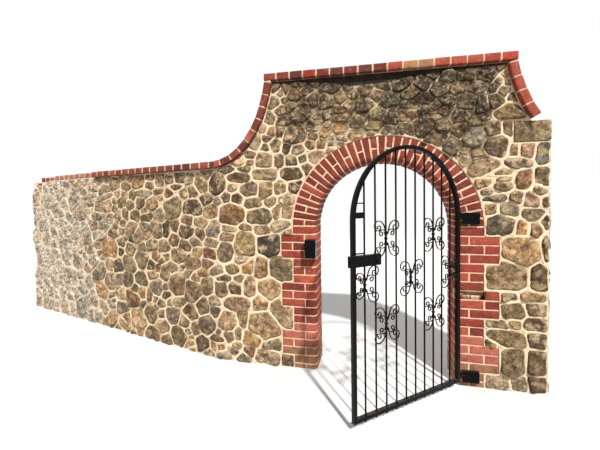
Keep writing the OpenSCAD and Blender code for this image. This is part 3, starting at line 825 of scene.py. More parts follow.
def low_region(u: Array, v: Array, gap: float) -> Array:
    """Tells which points of the low wall's front are stone, at least a gap from its edges."""
    fallen = v > WALL.low - 0.17 + (u + WALL.low_run) * 0.327
    far = far_edge(v)
    return (u > far + gap) & (u < 0.5) & (v > gap * 0.3) & (v < WALL.low - gap) & ~fallen


def far_edge(v: Array) -> Array:
    """Gives where the broken end of the low wall lies at a height."""
    drop = np.array([0.0, 0.15, 0.19, 0.42, 0.45, 0.7, 0.74, 1.01, 1.05, 1.34, 1.38, 1.875])
    back = np.array([0.04, 0.022, 0.0, 0.012, 0.055, 0.045, 0.005, 0.018, 0.06, 0.04, 0.0, 0.0])
    return -WALL.low_run + np.interp(WALL.low - np.asarray(v), drop, back)


@dataclass(frozen=True)
class BrokenEnd:
    """The broken left end of the low wall: distances run through the wall, heights up its ragged edge."""

    side: Face

    def place(self, u: Array, v: Array, h: Array) -> Array:
        """Gives points in space for distances from the front, heights and depths out of the end."""
        return self.side.place(far_edge(v) - h, v, -np.asarray(u))

    def flipped(self) -> bool:
        """Says whether the end is left-handed."""
        return not self.side.flipped()


@dataclass(frozen=True)
class Growth:
    """Dark growth high on the doorway wall: where it lies and how strong it is."""

    height: float = 2.12
    fade: float = 0.16
    wave: float = 0.1
    lower_at: float = 0.68
    lower_wide: float = 0.34
    lower_by: float = 0.28
    half: float = 0.98
    side_fade: float = 0.15
    least: float = 0.15
    left: float = 0.78
    right: float = 0.95

    def at(self, u: float, v: float) -> float:
        """Gives how dark and overgrown the wall is at a place, from 0 to about 1."""
        lower = self.lower_by * math.exp(-((u - self.lower_at) / self.lower_wide) ** 2)
        high = clamp((v - self.height + lower + self.wave * math.sin(5 * u)) / self.fade)
        sides = clamp((self.half - abs(u)) / self.side_fade)
        return self.least + (self.right if u > 0.05 else self.left) * high * sides


@dataclass(frozen=True)
class Fit:
    """How closely stones are set, in metres, or as shares of a stone's own size where they have no unit."""

    window: float = 0.45
    middle_apart: float = 1.1
    edge_apart: float = 0.93
    gap_grid: float = 0.012
    gap_edge: float = 0.018
    gap_least: float = 1.6
    gap_stone: tuple[float, float] = (0.03, 0.09)
    pocket_grid: float = 0.014
    pocket_window: float = 0.3
    pocket_edge: float = 0.024
    pocket_least: float = 0.006
    pocket_wide: float = 0.06
    pocket_stone: float = 0.03
    facings: int = 36
    corner_steps: int = 240
    widest: float = 1.62


@dataclass(frozen=True)
class Cut:
    """How a stone is split, tilted and tinted: depths in metres, and spreads as shares."""

    rough: float = 0.006
    rough_grown: float = 0.008
    proud_grown: float = 0.006
    tilt: float = 0.09
    root: float = -0.014
    least: float = 0.0045
    shade: float = 0.09
    warm: float = 0.02
    darkened: float = 0.2


GROWTH = Growth()
FIT = Fit()
CUT = Cut()
LEAST_LIME = 0.05
POINTING_TINT = (222, 196, 152)
LIMED_STONE = (220, 202, 178)
DARK_TONES = (Tone.DARK, Tone.DARK, Tone.OLIVE, Tone.BROWN)
TONES = (Tone.TAN, Tone.TAN, Tone.TAN, Tone.BROWN, Tone.BROWN, Tone.OLIVE, Tone.OLIVE, Tone.OCHRE, Tone.GREY,
         Tone.UMBER, Tone.SLATE, Tone.PINK)
SHARES = np.array([1.0, 1.0, 0.97, 0.9, 0.74, 0.5, 0.25])
LIFT = np.array([-0.02, 0.0, 0.6, 0.92, 1.0, 1.0, 1.0])
FEW_RINGS = [0, 1, 2, 3, 5]
TURN = 2 * math.pi


@dataclass
class RubbleFace:
    """One face of rubble: key stones where the photograph shows them, and the rest fitted between them."""

    name: str
    face: Face | Fold | BrokenEnd
    region: Callable[[Array, Array, float], Array]
    span: tuple[float, float, float, float]
    seed: int
    keys: Sequence[Stone] = ()
    rays: int = 40
    proud: float = 0.011
    joint: float = 0.026
    gap: float = 0.002
    sizes: Sequence[float] = (0.108, 0.09, 0.074, 0.06, 0.048)
    tries: int = 500
    left_name: str = ""
    limed_from: float = -99.0
    stones: list[Stone] = field(default_factory=list)

    def arrays(self) -> Array:
        """Gives the stones as rows of u, v, a, b, cosine and sine."""
        rows = [[s.u, s.v, s.a, s.b, math.cos(s.turn), math.sin(s.turn)] for s in self.stones]
        return np.array(rows).reshape(-1, 6)

    @staticmethod
    def reach(table: Array, u: Array, v: Array) -> Array:
        """Gives each point's distance from each stone's middle, as a share of the stone's own size."""
        du = u[..., None] - table[:, 0]
        dv = v[..., None] - table[:, 1]
        x = np.abs(du * table[:, 4] + dv * table[:, 5]) / table[:, 2]
        y = np.abs(dv * table[:, 4] - du * table[:, 5]) / table[:, 3]
        return np.cbrt(x * x * x + y * y * y)

    def pick_tone(self, u: float, v: float, rng: np.random.Generator) -> Tone:
        """Picks a tone for a stone at a place."""
        kinds = DARK_TONES if rng.random() < GROWTH.at(u, v) * 0.8 else TONES
        return kinds[int(rng.integers(len(kinds)))]

    def limed(self, u: float) -> float:
        """Gives how much lime is smeared on the stones at a place, from 0 to 1."""
        near = clamp((self.limed_from + 0.9 - u) / 1.2)
        far = clamp((self.limed_from + 0.2 - u) / 1.1)
        return LEAST_LIME + 0.24 * near + 0.46 * far

    def fits(self, stone: Stone) -> bool:
        """Tells whether a stone and its outline lie clear of the stones already set."""
        table = self.arrays()
        away = np.maximum(np.abs(table[:, 0] - stone.u), np.abs(table[:, 1] - stone.v))
        near = table[away < FIT.window]
        if not len(near):
            return True
        round_it = np.linspace(0, TURN, 12, endpoint=False)
        x = stone.a * np.cos(round_it)
        y = stone.b * np.sin(round_it)
        pu = stone.u + x * math.cos(stone.turn) - y * math.sin(stone.turn)
        pv = stone.v + x * math.sin(stone.turn) + y * math.cos(stone.turn)
        middle = self.reach(near, np.array([stone.u]), np.array([stone.v]))
        edge = self.reach(near, pu, pv)
        return bool(middle.min() >= FIT.middle_apart and edge.min() >= FIT.edge_apart)

    def fit_stones(self) -> None:
        """Sets the key stones, then fits stones of falling size wherever they still fit."""
        rng = np.random.default_rng(self.seed)
        self.stones = list(self.keys)
        u0, u1, v0, v1 = self.span
        for size in self.sizes:
            for _ in range(self.tries):
                u, v = rng.uniform(u0, u1), rng.uniform(v0, v1)
                a = size * rng.uniform(0.85, 1.3)
                b = a * rng.uniform(0.5, 0.95)
                stone = Stone(u, v, a, b, Tone.TAN, rng.normal(0, 0.3))
                if bool(self.region(np.array(u), np.array(v), b * 0.8)) and self.fits(stone):
                    stone.tone = self.pick_tone(u, v, rng)
                    self.stones.append(stone)
        self.fill_gaps(rng)

    def add_small(self, u: float, v: float, a: float, lean: float, rng: np.random.Generator) -> None:
        """Sets a small stone of a half size at a place."""
        b = a * rng.uniform(0.7, 1.0)
        self.stones.append(Stone(u, v, a, b, self.pick_tone(u, v, rng), rng.normal(0, lean)))

    def shrink(self, free: Array, row: Array, u: Array, v: Array) -> None:
        """Lowers the distance that is free round the points near a stone."""
        near = (np.abs(u - row[0]) < 0.4) & (np.abs(v - row[1]) < 0.4)
        free[near] = np.minimum(free[near], self.reach(row[None], u[near], v[near])[:, 0])

    def fill_gaps(self, rng: np.random.Generator) -> None:
        """Sets small stones at the places that lie farthest from any other."""
        u0, u1, v0, v1 = self.span
        grid = np.meshgrid(np.arange(u0, u1, FIT.gap_grid), np.arange(v0, v1, FIT.gap_grid))
        u, v = (a.ravel() for a in grid)
        inside = self.region(u, v, FIT.gap_edge)
        u, v = u[inside], v[inside]
        free = np.full(len(u), 99.0)
        for row in self.arrays():
            self.shrink(free, row, u, v)
        least, most = FIT.gap_stone
        while free[k := int(np.argmax(free))] >= FIT.gap_least:
            table = self.arrays()
            away = np.hypot(table[:, 0] - u[k], table[:, 1] - v[k])
            share = self.reach(table, u[k:k + 1], v[k:k + 1])[0]
            clear = float((away * (1 - 1 / share)).min())
            self.add_small(float(u[k]), float(v[k]), min(max(clear * 1.05, least), most), 0.4, rng)
            self.shrink(free, self.arrays()[-1], u, v)

    def fill_pockets(self, rng: np.random.Generator) -> None:
        """Sets a small stone in every pocket of mortar that the others leave."""
        angles, _, cells = self.outlines()
        step, window = FIT.pocket_grid, FIT.pocket_window
        u0, u1, v0, v1 = self.span
        u, v = np.meshgrid(np.arange(u0, u1, step), np.arange(v0, v1, step), indexing="ij")
        left = self.region(u, v, FIT.pocket_edge)
        for stone, angle, cell in zip(self.stones, angles, cells):
            corner = ((stone.u, u0), (stone.v, v0))
            i0, j0 = (max(int((m - low - window) / step), 0) for m, low in corner)
            i1, j1 = (int((m - low + window) / step) + 1 for m, low in corner)
            du, dv = u[i0:i1, j0:j1] - stone.u, v[i0:i1, j0:j1] - stone.v
            reach = np.interp(np.arctan2(dv, du), angle, cell, period=TURN)
            left[i0:i1, j0:j1] &= np.hypot(du, dv) > reach + FIT.pocket_least
        deep = left.copy()
        for axis, by in ((0, 1), (0, -1), (1, 1), (1, -1)):
            deep &= np.roll(left, by, axis)
        spots = np.stack([u[deep], v[deep]], 1)
        while len(spots):
            group = np.hypot(*(spots - spots[0]).T) < FIT.pocket_wide
            pu, pv = spots[group].mean(0)
            self.add_small(float(pu), float(pv), FIT.pocket_stone * rng.uniform(0.8, 1.15), 0.6, rng)
            spots = spots[~group]

    @staticmethod
    def lines(table: Array, i: int) -> tuple[Array, Array]:
        """Gives the straight lines of the joints between one stone and its neighbours.

        Args:
            table: the stones as arrays() gives them.
            i: the stone's number.

        Returns:
            The angle that each line faces, and its distance from the stone's middle.
        """
        apart = table[:, :2] - table[i, :2]
        near = np.flatnonzero((np.hypot(apart[:, 0], apart[:, 1]) < 0.5) & (np.arange(len(table)) != i))
        facing = np.linspace(0, TURN, FIT.facings, endpoint=False)
        n = np.stack([np.cos(facing), np.sin(facing)], 1)

        def extent(rows: Array) -> Array:
            """Gives how far each stone's ellipse reaches along each facing."""
            along = rows[:, 4:5] * n[:, 0] + rows[:, 5:6] * n[:, 1]
            across = rows[:, 4:5] * n[:, 1] - rows[:, 5:6] * n[:, 0]
            return np.hypot(rows[:, 2:3] * along, rows[:, 3:4] * across)

        own = extent(table[i:i + 1])[0]
        others = extent(table[near])
        gap = apart[near] @ n.T - own - others
        best = gap.argmax(1)
        pick = np.arange(len(near))
        share = own[best] / (own[best] + others[pick, best])
        far = own[best] + gap[pick, best] * (0.25 + 0.5 * share)
        return facing[best], np.maximum(far, own[best] * 0.4)

    @staticmethod
    def met(row: Array, lines: tuple[Array, Array], at: Array, less: float) -> tuple[Array, Array]:
        """Finds where rays from a stone's middle meet its joints, or its own widest outline.

        Args:
            row: the stone as arrays() gives it.
            lines: its joints as lines() gives them.
            at: the angles of the rays.
            less: how far inside the joints to stay.

        Returns:
            The distance along each ray, and the number of the line that it meets.
        """
        facing, far = lines
        c, s = np.cos(at), np.sin(at)
        x = np.abs(c * row[4] + s * row[5]) / row[2]
        y = np.abs(s * row[4] - c * row[5]) / row[3]
        limit = FIT.widest / np.cbrt(x ** 3 + y ** 3) - less
        cosine = np.cos(at[:, None] - facing[None, :])
        meet = np.where(cosine > 0.05, (far - less) / np.maximum(cosine, 0.05), 9.0)
        meet = np.concatenate([meet, limit[:, None]], 1)
        return meet.min(1), meet.argmin(1)

    def aim(self, row: Array, lines: tuple[Array, Array]) -> Array:
        """Gives the angles of a stone's rays: evenly round it, with one moved to each corner."""
        fine = np.linspace(0, TURN, FIT.corner_steps, endpoint=False)
        which = self.met(row, lines, fine, 0.0)[1]
        at = np.linspace(0, TURN, self.rays, endpoint=False)
        for corner in fine[which != np.roll(which, 1)] - math.pi / FIT.corner_steps:
            at[int(round(corner % TURN / TURN * self.rays)) % self.rays] = corner
        return np.sort(at % TURN)

    def outlines(self) -> tuple[Array, Array, Array]:
        """Gives each stone's rays, its outline along them and how far its half of the joints reaches."""
        rng = np.random.default_rng(self.seed + 1)
        table = self.arrays()
        steps = np.linspace(0.05, 1.0, 40)
        angles = np.zeros((len(table), self.rays))
        inner, cells = np.zeros_like(angles), np.zeros_like(angles)
        for i, stone in enumerate(self.stones):
            lines = self.lines(table, i)
            half = self.joint * (0.5 - 0.3 * GROWTH.at(stone.u, stone.v)) * rng.uniform(0.75, 1.25)
            at = self.aim(table[i], lines)
            c, s = np.cos(at), np.sin(at)
            cell, stone_edge = (self.met(table[i], lines, at, less)[0] for less in (0.0, half))
            free = self.region(stone.u + cell[:, None] * steps * c[:, None],
                               stone.v + cell[:, None] * steps * s[:, None], self.gap)
            blocked = ~free.all(1)
            stop = np.where(blocked, np.maximum(np.argmin(free, 1) - 1, 0), len(steps) - 1)
            edge = cell * steps[stop]
            edge = np.minimum(edge, 0.6 * (np.roll(edge, 1) + np.roll(edge, -1)))
            radius = np.where(blocked, np.minimum(stone_edge, edge - half * 0.9), stone_edge)
            radius = np.minimum(radius, 0.59 * (np.roll(radius, 1) + np.roll(radius, -1)))
            radius = 0.16 * np.roll(radius, 1) + 0.68 * radius + 0.16 * np.roll(radius, -1)
            where = np.stack([stone.u + radius * c, stone.v + radius * s, np.full_like(c, i * 0.7)], -1)
            radius = radius + noise(where, 26, 9) * 0.0035 + rng.normal(0, 0.0012, self.rays)
            inner[i] = np.maximum(np.minimum(radius, edge - 0.002), edge * 0.4)
            angles[i], cells[i] = at, edge
        return angles, inner, cells

    def build(self, finishes: Finishes) -> None:
        """Fits the stones, shapes each with its half of the raised pointing, and joins them into pieces."""
        self.fit_stones()
        rng = np.random.default_rng(self.seed + 2)
        for _ in range(2):
            self.fill_pockets(rng)
        parts = {name: (Solids(), Solids()) for name in (self.name, self.left_name) if name}
        for stone, angle, radius, cell in zip(self.stones, *self.outlines()):
            solids, ribs = parts[self.left_name if self.left_name and stone.u < -WALL.bend else self.name]
            ray = (np.cos(angle), np.sin(angle))
            self.shape(solids, stone, ray, radius, rng)
            self.point(ribs, stone, ray, radius, cell)
        LOG.info("%s: %d stones", self.name, len(self.stones))
        for name, (solids, ribs) in parts.items():
            solids.build(name, finishes.get(RUBBLE), "wall", "rubble", sharp=60)
            pointing = name.replace("stones", "pointing")
            ribs.build(pointing, finishes.get(POINTING), "wall", "rubble", sharp=60)

    def shape(self, solids: Solids, stone: Stone, ray: tuple[Array, Array], radius: Array,
              rng: np.random.Generator) -> None:
        """Raises one stone out of the face, tilted and unevenly split, and tints it.

        Args:
            solids: the piece that it becomes part of.
            stone: the stone.
            ray: the cosines and sines of its rays.
            radius: its outline along them.
            rng: where its chances are drawn from.
        """
        few = FEW_RINGS if self.rays < 36 else slice(None)
        shares, lift = SHARES[few], LIFT[few][:, None]
        growth = GROWTH.at(stone.u, stone.v)
        proud = self.proud * rng.uniform(0.7, 1.3) + CUT.proud_grown * growth
        rough = CUT.rough + CUT.rough_grown * growth
        u = stone.u + shares[:, None] * radius * ray[0]
        v = stone.v + shares[:, None] * radius * ray[1]
        tilt = rng.normal(0, CUT.tilt, 2)
        rise = (lift > 0.1) * (tilt[0] * (u - stone.u) + tilt[1] * (v - stone.v))
        h = lift * proud + rise + self.crags(u, v) * rough * np.clip(lift * 1.3, 0, 1)
        h[0] = CUT.root
        h[1:] = np.maximum(h[1:], np.where(lift[1:] > 0.5, CUT.least * lift[1:], -0.001))
        middle = np.array([stone.u]), np.array([stone.v])
        peak = self.face.place(*middle, proud + self.crags(*middle) * rough)[0]
        shade = rng.normal(1.0, CUT.shade)
        warm = rng.normal(0, CUT.warm)
        lime = self.limed(stone.u + 0.3 * math.sin(41 * stone.u + 29 * stone.v))
        pale = max(lime - LEAST_LIME, 0.0)
        shade *= 1 - CUT.darkened * max(growth - 0.8, 0.0) / 0.3
        r, g, b = (own * (1 - pale) + white * pale for own, white in zip(stone.tone.value, LIMED_STONE))
        tint = [min(max(k * shade, 20), 250) for k in (r * (1 + warm), g, b * (1 - warm * 1.5))]
        solids.tube(self.face.place(u, v, h), tint, np.clip(shares ** 3, 0, 1), growth, lime,
                    flip=self.face.flipped(), open_start=True, peak=peak)

    def point(self, ribs: Solids, stone: Stone, ray: tuple[Array, Array], radius: Array,
              cell: Array) -> None:
        """Raises one stone's half of the pointing round it, flatter where growth has taken hold.

        Args:
            ribs: the piece that it becomes part of.
            stone: the stone.
            ray: the cosines and sines of its rays.
            radius: its outline along them.
            cell: how far the joint reaches along them.
        """
        growth = GROWTH.at(stone.u, stone.v)
        rows = np.stack([cell + 0.003, cell * 0.55 + radius * 0.45, radius + 0.002, radius - 0.004])
        u = stone.u + rows * ray[0]
        v = stone.v + rows * ray[1]
        h = np.array([0.0046, 0.0056, 0.0034, -0.004])[:, None] * (1 - 1.2 * growth)
        h = h + self.crags(u * 1.7, v * 1.7) * 0.0014
        ribs.tube(self.face.place(u, v, h), POINTING_TINT, 0.0, growth, 0.0, flip=self.face.flipped(),
                  open_start=True, open_end=True)

    def crags(self, u: Array, v: Array) -> Array:
        """Gives the unevenness of split stone, from about -1.5 to 1.5."""
        at = np.stack([u, v, np.full_like(u, self.seed * 0.37)], -1)
        broad = noise(at, 15, 3)
        ridge = 1 - 2 * np.abs(noise(at, 30, 4))
        return broad + 0.7 * ridge * (broad > -0.4) + 0.3 * noise(at, 62, 5)


def stones_from(rows: Sequence[tuple[float, float, float, float, str]]) -> list[Stone]:
    """Turns rows of middle, half sizes and tone name into stones."""
    rng = np.random.default_rng(7)
    return [Stone(u, v, max(a, 0.03), max(b, 0.026), Tone[t.upper()], float(rng.normal(0, 0.12)))
            for u, v, a, b, t in rows]


HIGH_KEYS = stones_from([
    (-1.55, 1.73, 0.08, 0.1, "dark"), (-1.44, 1.86, 0.09, 0.03, "slate"), (-1.32, 1.78, 0.11, 0.05, "dark"),
    (-1.27, 1.86, 0.07, 0.03, "olive"), (-1.21, 1.99, 0.05, 0.04, "brown"), (-1.06, 1.92, 0.07, 0.08, "tan"),
    (-0.91, 1.92, 0.05, 0.06, "brown"), (-0.8, 1.92, 0.06, 0.05, "dark"), (-1.06, 1.81, 0.12, 0.07, "tan"),
    (-0.81, 1.8, 0.1, 0.06, "dark"), (-1.38, 1.68, 0.05, 0.04, "tan"), (-1.22, 1.66, 0.09, 0.06, "brown"),
    (-1.05, 1.66, 0.07, 0.08, "tan"), (-0.91, 1.67, 0.06, 0.06, "tan"), (-0.77, 1.68, 0.06, 0.05, "dark"),
    (-1.46, 1.59, 0.05, 0.04, "brown"), (-1.34, 1.58, 0.06, 0.05, "dark"), (-1.18, 1.53, 0.09, 0.05, "tan"),
    (-1.01, 1.54, 0.06, 0.05, "tan"), (-0.85, 1.56, 0.07, 0.05, "tan"), (-1.39, 1.42, 0.12, 0.1, "umber"),
    (-1.12, 1.41, 0.12, 0.08, "olive"), (-0.95, 1.46, 0.04, 0.06, "tan"), (-0.85, 1.45, 0.05, 0.05, "ochre"),
    (-0.91, 1.32, 0.1, 0.04, "grey"), (-1.42, 1.29, 0.07, 0.03, "tan"), (-1.26, 1.3, 0.07, 0.02, "brown"),
    (-1.09, 1.28, 0.08, 0.05, "brown"), (-1.45, 1.21, 0.07, 0.04, "pink"), (-1.27, 1.15, 0.1, 0.12, "olive"),
    (-1.03, 1.15, 0.11, 0.1, "slate"), (-1.47, 1.06, 0.08, 0.1, "mauve"), (-1.31, 0.99, 0.07, 0.04, "cream"),
    (-1.41, 0.9, 0.07, 0.05, "olive"), (-1.24, 0.93, 0.06, 0.06, "ochre"),
    (-1.11, 0.91, 0.07, 0.09, "brown"), (-0.91, 0.92, 0.11, 0.1, "olive"), (-1.5, 0.81, 0.08, 0.03, "brown"),
    (-1.34, 0.81, 0.05, 0.03, "tan"), (-1.53, 0.69, 0.08, 0.08, "brown"), (-1.38, 0.71, 0.06, 0.06, "dark"),
    (-1.23, 0.73, 0.06, 0.1, "tan"), (-1.03, 0.72, 0.11, 0.09, "tan"), (-1.36, 0.57, 0.15, 0.06, "pink"),
    (-1.13, 0.57, 0.08, 0.08, "ochre"), (-0.92, 0.52, 0.11, 0.12, "tan"), (-1.46, 0.38, 0.09, 0.08, "tan"),
    (-1.31, 0.42, 0.05, 0.07, "brown"), (-1.09, 0.37, 0.15, 0.14, "tan"), (-1.21, 0.23, 0.08, 0.07, "ochre"),
    (-1.02, 0.19, 0.08, 0.05, "brown"), (-1.45, 0.23, 0.05, 0.05, "brown"),
    (-1.36, 0.27, 0.03, 0.06, "grey"), (-0.94, 2.59, 0.04, 0.04, "tan"), (-0.75, 2.61, 0.03, 0.03, "brown"),
    (-0.64, 2.54, 0.05, 0.04, "dark"), (-0.84, 2.56, 0.03, 0.04, "brown"),
    (-0.86, 2.47, 0.03, 0.03, "olive"), (-0.95, 2.46, 0.05, 0.05, "grey"), (-1.0, 2.31, 0.06, 0.05, "tan"),
    (-1.03, 2.13, 0.05, 0.03, "brown"), (-0.9, 2.19, 0.04, 0.04, "brown"), (-0.77, 2.15, 0.09, 0.07, "dark"),
    (-0.59, 2.13, 0.04, 0.04, "tan"), (-0.49, 2.15, 0.05, 0.04, "ochre"), (-0.52, 2.06, 0.04, 0.04, "brown"),
    (-0.43, 2.05, 0.04, 0.03, "brown"), (-0.34, 2.45, 0.05, 0.05, "tan"), (-0.35, 2.34, 0.05, 0.03, "umber"),
    (-0.34, 2.1, 0.05, 0.03, "cream"), (-0.21, 2.11, 0.06, 0.04, "tan"), (-0.47, 2.43, 0.06, 0.06, "dark"),
    (-0.68, 2.34, 0.1, 0.06, "dark"), (-0.56, 2.28, 0.06, 0.05, "dark"), (-0.13, 2.51, 0.06, 0.05, "olive"),
    (0.02, 2.53, 0.06, 0.04, "olive"), (0.06, 2.39, 0.06, 0.05, "grey"), (-0.14, 2.37, 0.07, 0.05, "dark"),
    (-0.03, 2.29, 0.06, 0.04, "olive"), (-0.2, 2.23, 0.07, 0.05, "dark"), (0.08, 2.25, 0.06, 0.06, "dark"),
    (-0.06, 2.18, 0.07, 0.04, "olive"), (-0.79, 2.41, 0.05, 0.04, "olive"),
    (-0.25, 2.56, 0.06, 0.04, "brown"), (0.42, 2.22, 0.07, 0.02, "brown"), (0.8, 2.53, 0.06, 0.04, "dark"),
    (0.66, 2.55, 0.07, 0.04, "dark"), (0.52, 2.55, 0.06, 0.04, "dark"), (0.6, 2.44, 0.07, 0.04, "dark"),
    (0.74, 2.43, 0.06, 0.04, "dark"), (0.46, 2.44, 0.06, 0.05, "olive"), (0.32, 2.51, 0.06, 0.05, "dark"),
    (0.34, 2.38, 0.07, 0.04, "dark"), (0.52, 2.35, 0.06, 0.04, "dark"), (0.77, 2.3, 0.04, 0.08, "dark"),
    (0.63, 2.23, 0.07, 0.04, "dark"), (0.43, 2.32, 0.05, 0.02, "umber"), (0.21, 2.26, 0.07, 0.04, "ochre"),
    (0.91, 2.58, 0.02, 0.03, "brown"), (0.67, 2.62, 0.06, 0.02, "tan"), (0.8, 2.6, 0.04, 0.02, "tan"),
    (0.9, 2.47, 0.03, 0.02, "brown"), (0.93, 2.39, 0.04, 0.04, "brown"), (0.24, 2.44, 0.06, 0.05, "olive"),
    (0.24, 2.34, 0.06, 0.03, "brown"), (0.93, 1.65, 0.069, 0.044, "brown"), (1.18, 1.6, 0.045, 0.045, "tan"),
    (0.82, 1.6, 0.04, 0.05, "tan"), (0.86, 1.56, 0.083, 0.039, "slate"), (1.03, 1.56, 0.05, 0.047, "tan"),
    (1.13, 1.53, 0.06, 0.071, "pink"), (0.85, 1.47, 0.048, 0.045, "tan"), (0.97, 1.46, 0.074, 0.05, "grey"),
    (1.13, 1.43, 0.07, 0.055, "brown"), (0.91, 1.34, 0.105, 0.078, "slate"),
    (1.06, 1.31, 0.044, 0.066, "ochre"), (1.16, 1.3, 0.043, 0.06, "umber"),
    # the dark stones at u 1.17 to 1.23 here and in the next six lines are painted shade, where the right end
    # lies in shade
    (1.06, 1.14, 0.132, 0.106, "tan"), (1.23, 1.14, 0.028, 0.1, "dark"), (0.96, 0.92, 0.147, 0.107, "brown"),
    (1.18, 0.92, 0.065, 0.099, "dark"), (0.98, 0.76, 0.06, 0.037, "tan"), (1.15, 0.77, 0.1, 0.036, "brown"),
    (1.01, 0.65, 0.074, 0.062, "brown"), (1.18, 0.67, 0.08, 0.05, "dark"), (1.17, 0.55, 0.08, 0.055, "dark"),
    (0.9, 0.53, 0.083, 0.034, "olive"), (1.02, 0.54, 0.035, 0.03, "brown"),
    (0.96, 0.43, 0.138, 0.07, "olive"), (1.18, 0.42, 0.07, 0.065, "dark"),
    (1.01, 0.24, 0.08, 0.111, "olive"), (1.18, 0.25, 0.07, 0.1, "dark"), (0.88, 0.05, 0.1, 0.05, "tan"),
    (1.05, 0.06, 0.059, 0.05, "grey"), (1.18, 0.07, 0.065, 0.06, "dark"), (1.0, 1.93, 0.03, 0.05, "ochre"),
    (1.1, 1.92, 0.042, 0.05, "pink"), (1.03, 1.82, 0.096, 0.043, "grey"), (1.07, 1.69, 0.055, 0.08, "umber"),
    (0.92, 1.76, 0.084, 0.035, "tan"), (0.94, 1.7, 0.05, 0.03, "tan"), (0.8, 1.8, 0.115, 0.085, "tan"),
    (0.79, 1.67, 0.05, 0.04, "ochre"), (0.63, 1.86, 0.052, 0.044, "tan"),
    (0.74, 1.91, 0.051, 0.035, "brown"), (0.71, 2.05, 0.08, 0.071, "cream"),
    (0.88, 1.96, 0.085, 0.08, "dark"), (0.86, 2.1, 0.05, 0.05, "dark"), (0.97, 2.23, 0.092, 0.055, "olive"),
    (0.97, 2.1, 0.05, 0.05, "brown"), (0.44, 2.05, 0.07, 0.05, "brown"), (0.56, 1.99, 0.06, 0.06, "brown"),
    (1.2, 1.89, 0.045, 0.08, "slate"), (1.2, 1.71, 0.045, 0.07, "olive"), (0.62, 2.1, 0.05, 0.045, "umber"),
])

LOW_KEYS = stones_from([
    (-0.96, 1.82, 0.07, 0.04, "brown"), (-0.81, 1.79, 0.08, 0.07, "olive"),
    (-0.66, 1.79, 0.07, 0.04, "brown"), (-0.5, 1.8, 0.08, 0.05, "brown"), (-0.36, 1.78, 0.06, 0.05, "grey"),
    (-0.22, 1.73, 0.09, 0.08, "tan"), (-0.56, 1.71, 0.11, 0.03, "olive"), (-0.82, 1.67, 0.08, 0.03, "olive"),
    (-0.32, 1.67, 0.07, 0.06, "brown"), (-0.14, 1.57, 0.08, 0.05, "dark"), (-0.33, 1.49, 0.12, 0.07, "dark"),
    (-0.08, 1.46, 0.08, 0.07, "brown"), (-0.41, 1.37, 0.07, 0.05, "brown"), (-0.21, 1.34, 0.1, 0.04, "tan"),
    (-0.06, 1.28, 0.08, 0.08, "grey"), (-0.23, 1.23, 0.06, 0.06, "brown"), (-0.43, 1.24, 0.1, 0.06, "dark"),
    (-0.08, 1.15, 0.08, 0.04, "tan"), (-0.3, 1.15, 0.08, 0.05, "brown"), (-0.45, 1.1, 0.08, 0.05, "olive"),
    (-0.11, 1.03, 0.07, 0.05, "umber"), (-0.27, 1.05, 0.06, 0.04, "tan"), (-0.33, 0.93, 0.1, 0.06, "tan"),
    (-0.13, 0.94, 0.08, 0.04, "brown"), (-0.02, 0.88, 0.08, 0.05, "grey"), (-0.2, 0.84, 0.07, 0.04, "ochre"),
    (-0.31, 0.77, 0.06, 0.04, "tan"), (-0.34, 0.63, 0.12, 0.11, "brown"), (-0.15, 0.7, 0.08, 0.09, "olive"),
    (-0.22, 0.5, 0.09, 0.09, "brown"), (-0.06, 0.57, 0.08, 0.05, "tan"), (-0.4, 0.41, 0.09, 0.08, "dark"),
    (-0.16, 0.31, 0.08, 0.1, "grey"), (-0.03, 0.2, 0.08, 0.04, "olive"), (-0.87, 1.26, 0.09, 0.09, "brown"),
    (-0.72, 1.26, 0.06, 0.08, "dark"), (-1.25, 1.41, 0.09, 0.05, "olive"), (-1.05, 1.4, 0.08, 0.06, "olive"),
    (-0.81, 1.4, 0.08, 0.06, "grey"), (-0.97, 1.08, 0.1, 0.06, "tan"), (-0.77, 1.07, 0.08, 0.06, "tan"),
    (-0.76, 0.79, 0.07, 0.07, "brown"), (-0.91, 0.6, 0.09, 0.08, "tan"), (-1.19, 1.19, 0.09, 0.09, "tan"),
    (-2.43, 1.78, 0.09, 0.06, "tan"), (-2.07, 1.76, 0.11, 0.06, "cream"), (-1.59, 1.77, 0.09, 0.07, "tan"),
    (-1.41, 1.75, 0.09, 0.06, "brown"), (-1.17, 1.79, 0.09, 0.07, "ochre"),
    (-0.98, 1.75, 0.07, 0.05, "brown"), (-1.8, 1.63, 0.13, 0.04, "pink"), (-1.43, 1.65, 0.06, 0.04, "brown"),
    (-1.29, 1.63, 0.06, 0.05, "olive"), (-1.14, 1.65, 0.05, 0.04, "brown"),
    (-1.01, 1.65, 0.07, 0.04, "grey"), (-2.12, 1.65, 0.12, 0.04, "cream"),
    (-3.16, 1.59, 0.23, 0.09, "cream"), (-2.8, 1.66, 0.13, 0.04, "olive"), (-3.34, 1.24, 0.14, 0.1, "cream"),
    (-2.93, 1.43, 0.16, 0.07, "grey"), (-3.55, 1.07, 0.13, 0.11, "cream"), (-2.0, 1.38, 0.11, 0.05, "olive"),
    (-1.77, 1.36, 0.11, 0.06, "tan"), (-1.55, 1.39, 0.05, 0.06, "brown"), (-1.43, 1.42, 0.06, 0.06, "brown"),
    (-1.07, 1.45, 0.06, 0.04, "brown"), (-2.48, 1.14, 0.13, 0.07, "tan"), (-1.97, 1.14, 0.15, 0.06, "cream"),
    (-1.65, 1.18, 0.11, 0.05, "tan"), (-1.5, 1.22, 0.06, 0.04, "brown"), (-1.31, 1.24, 0.11, 0.06, "brown"),
    (-1.08, 1.27, 0.07, 0.05, "grey"),
])


# ---------------------------------------------------------------- brickwork


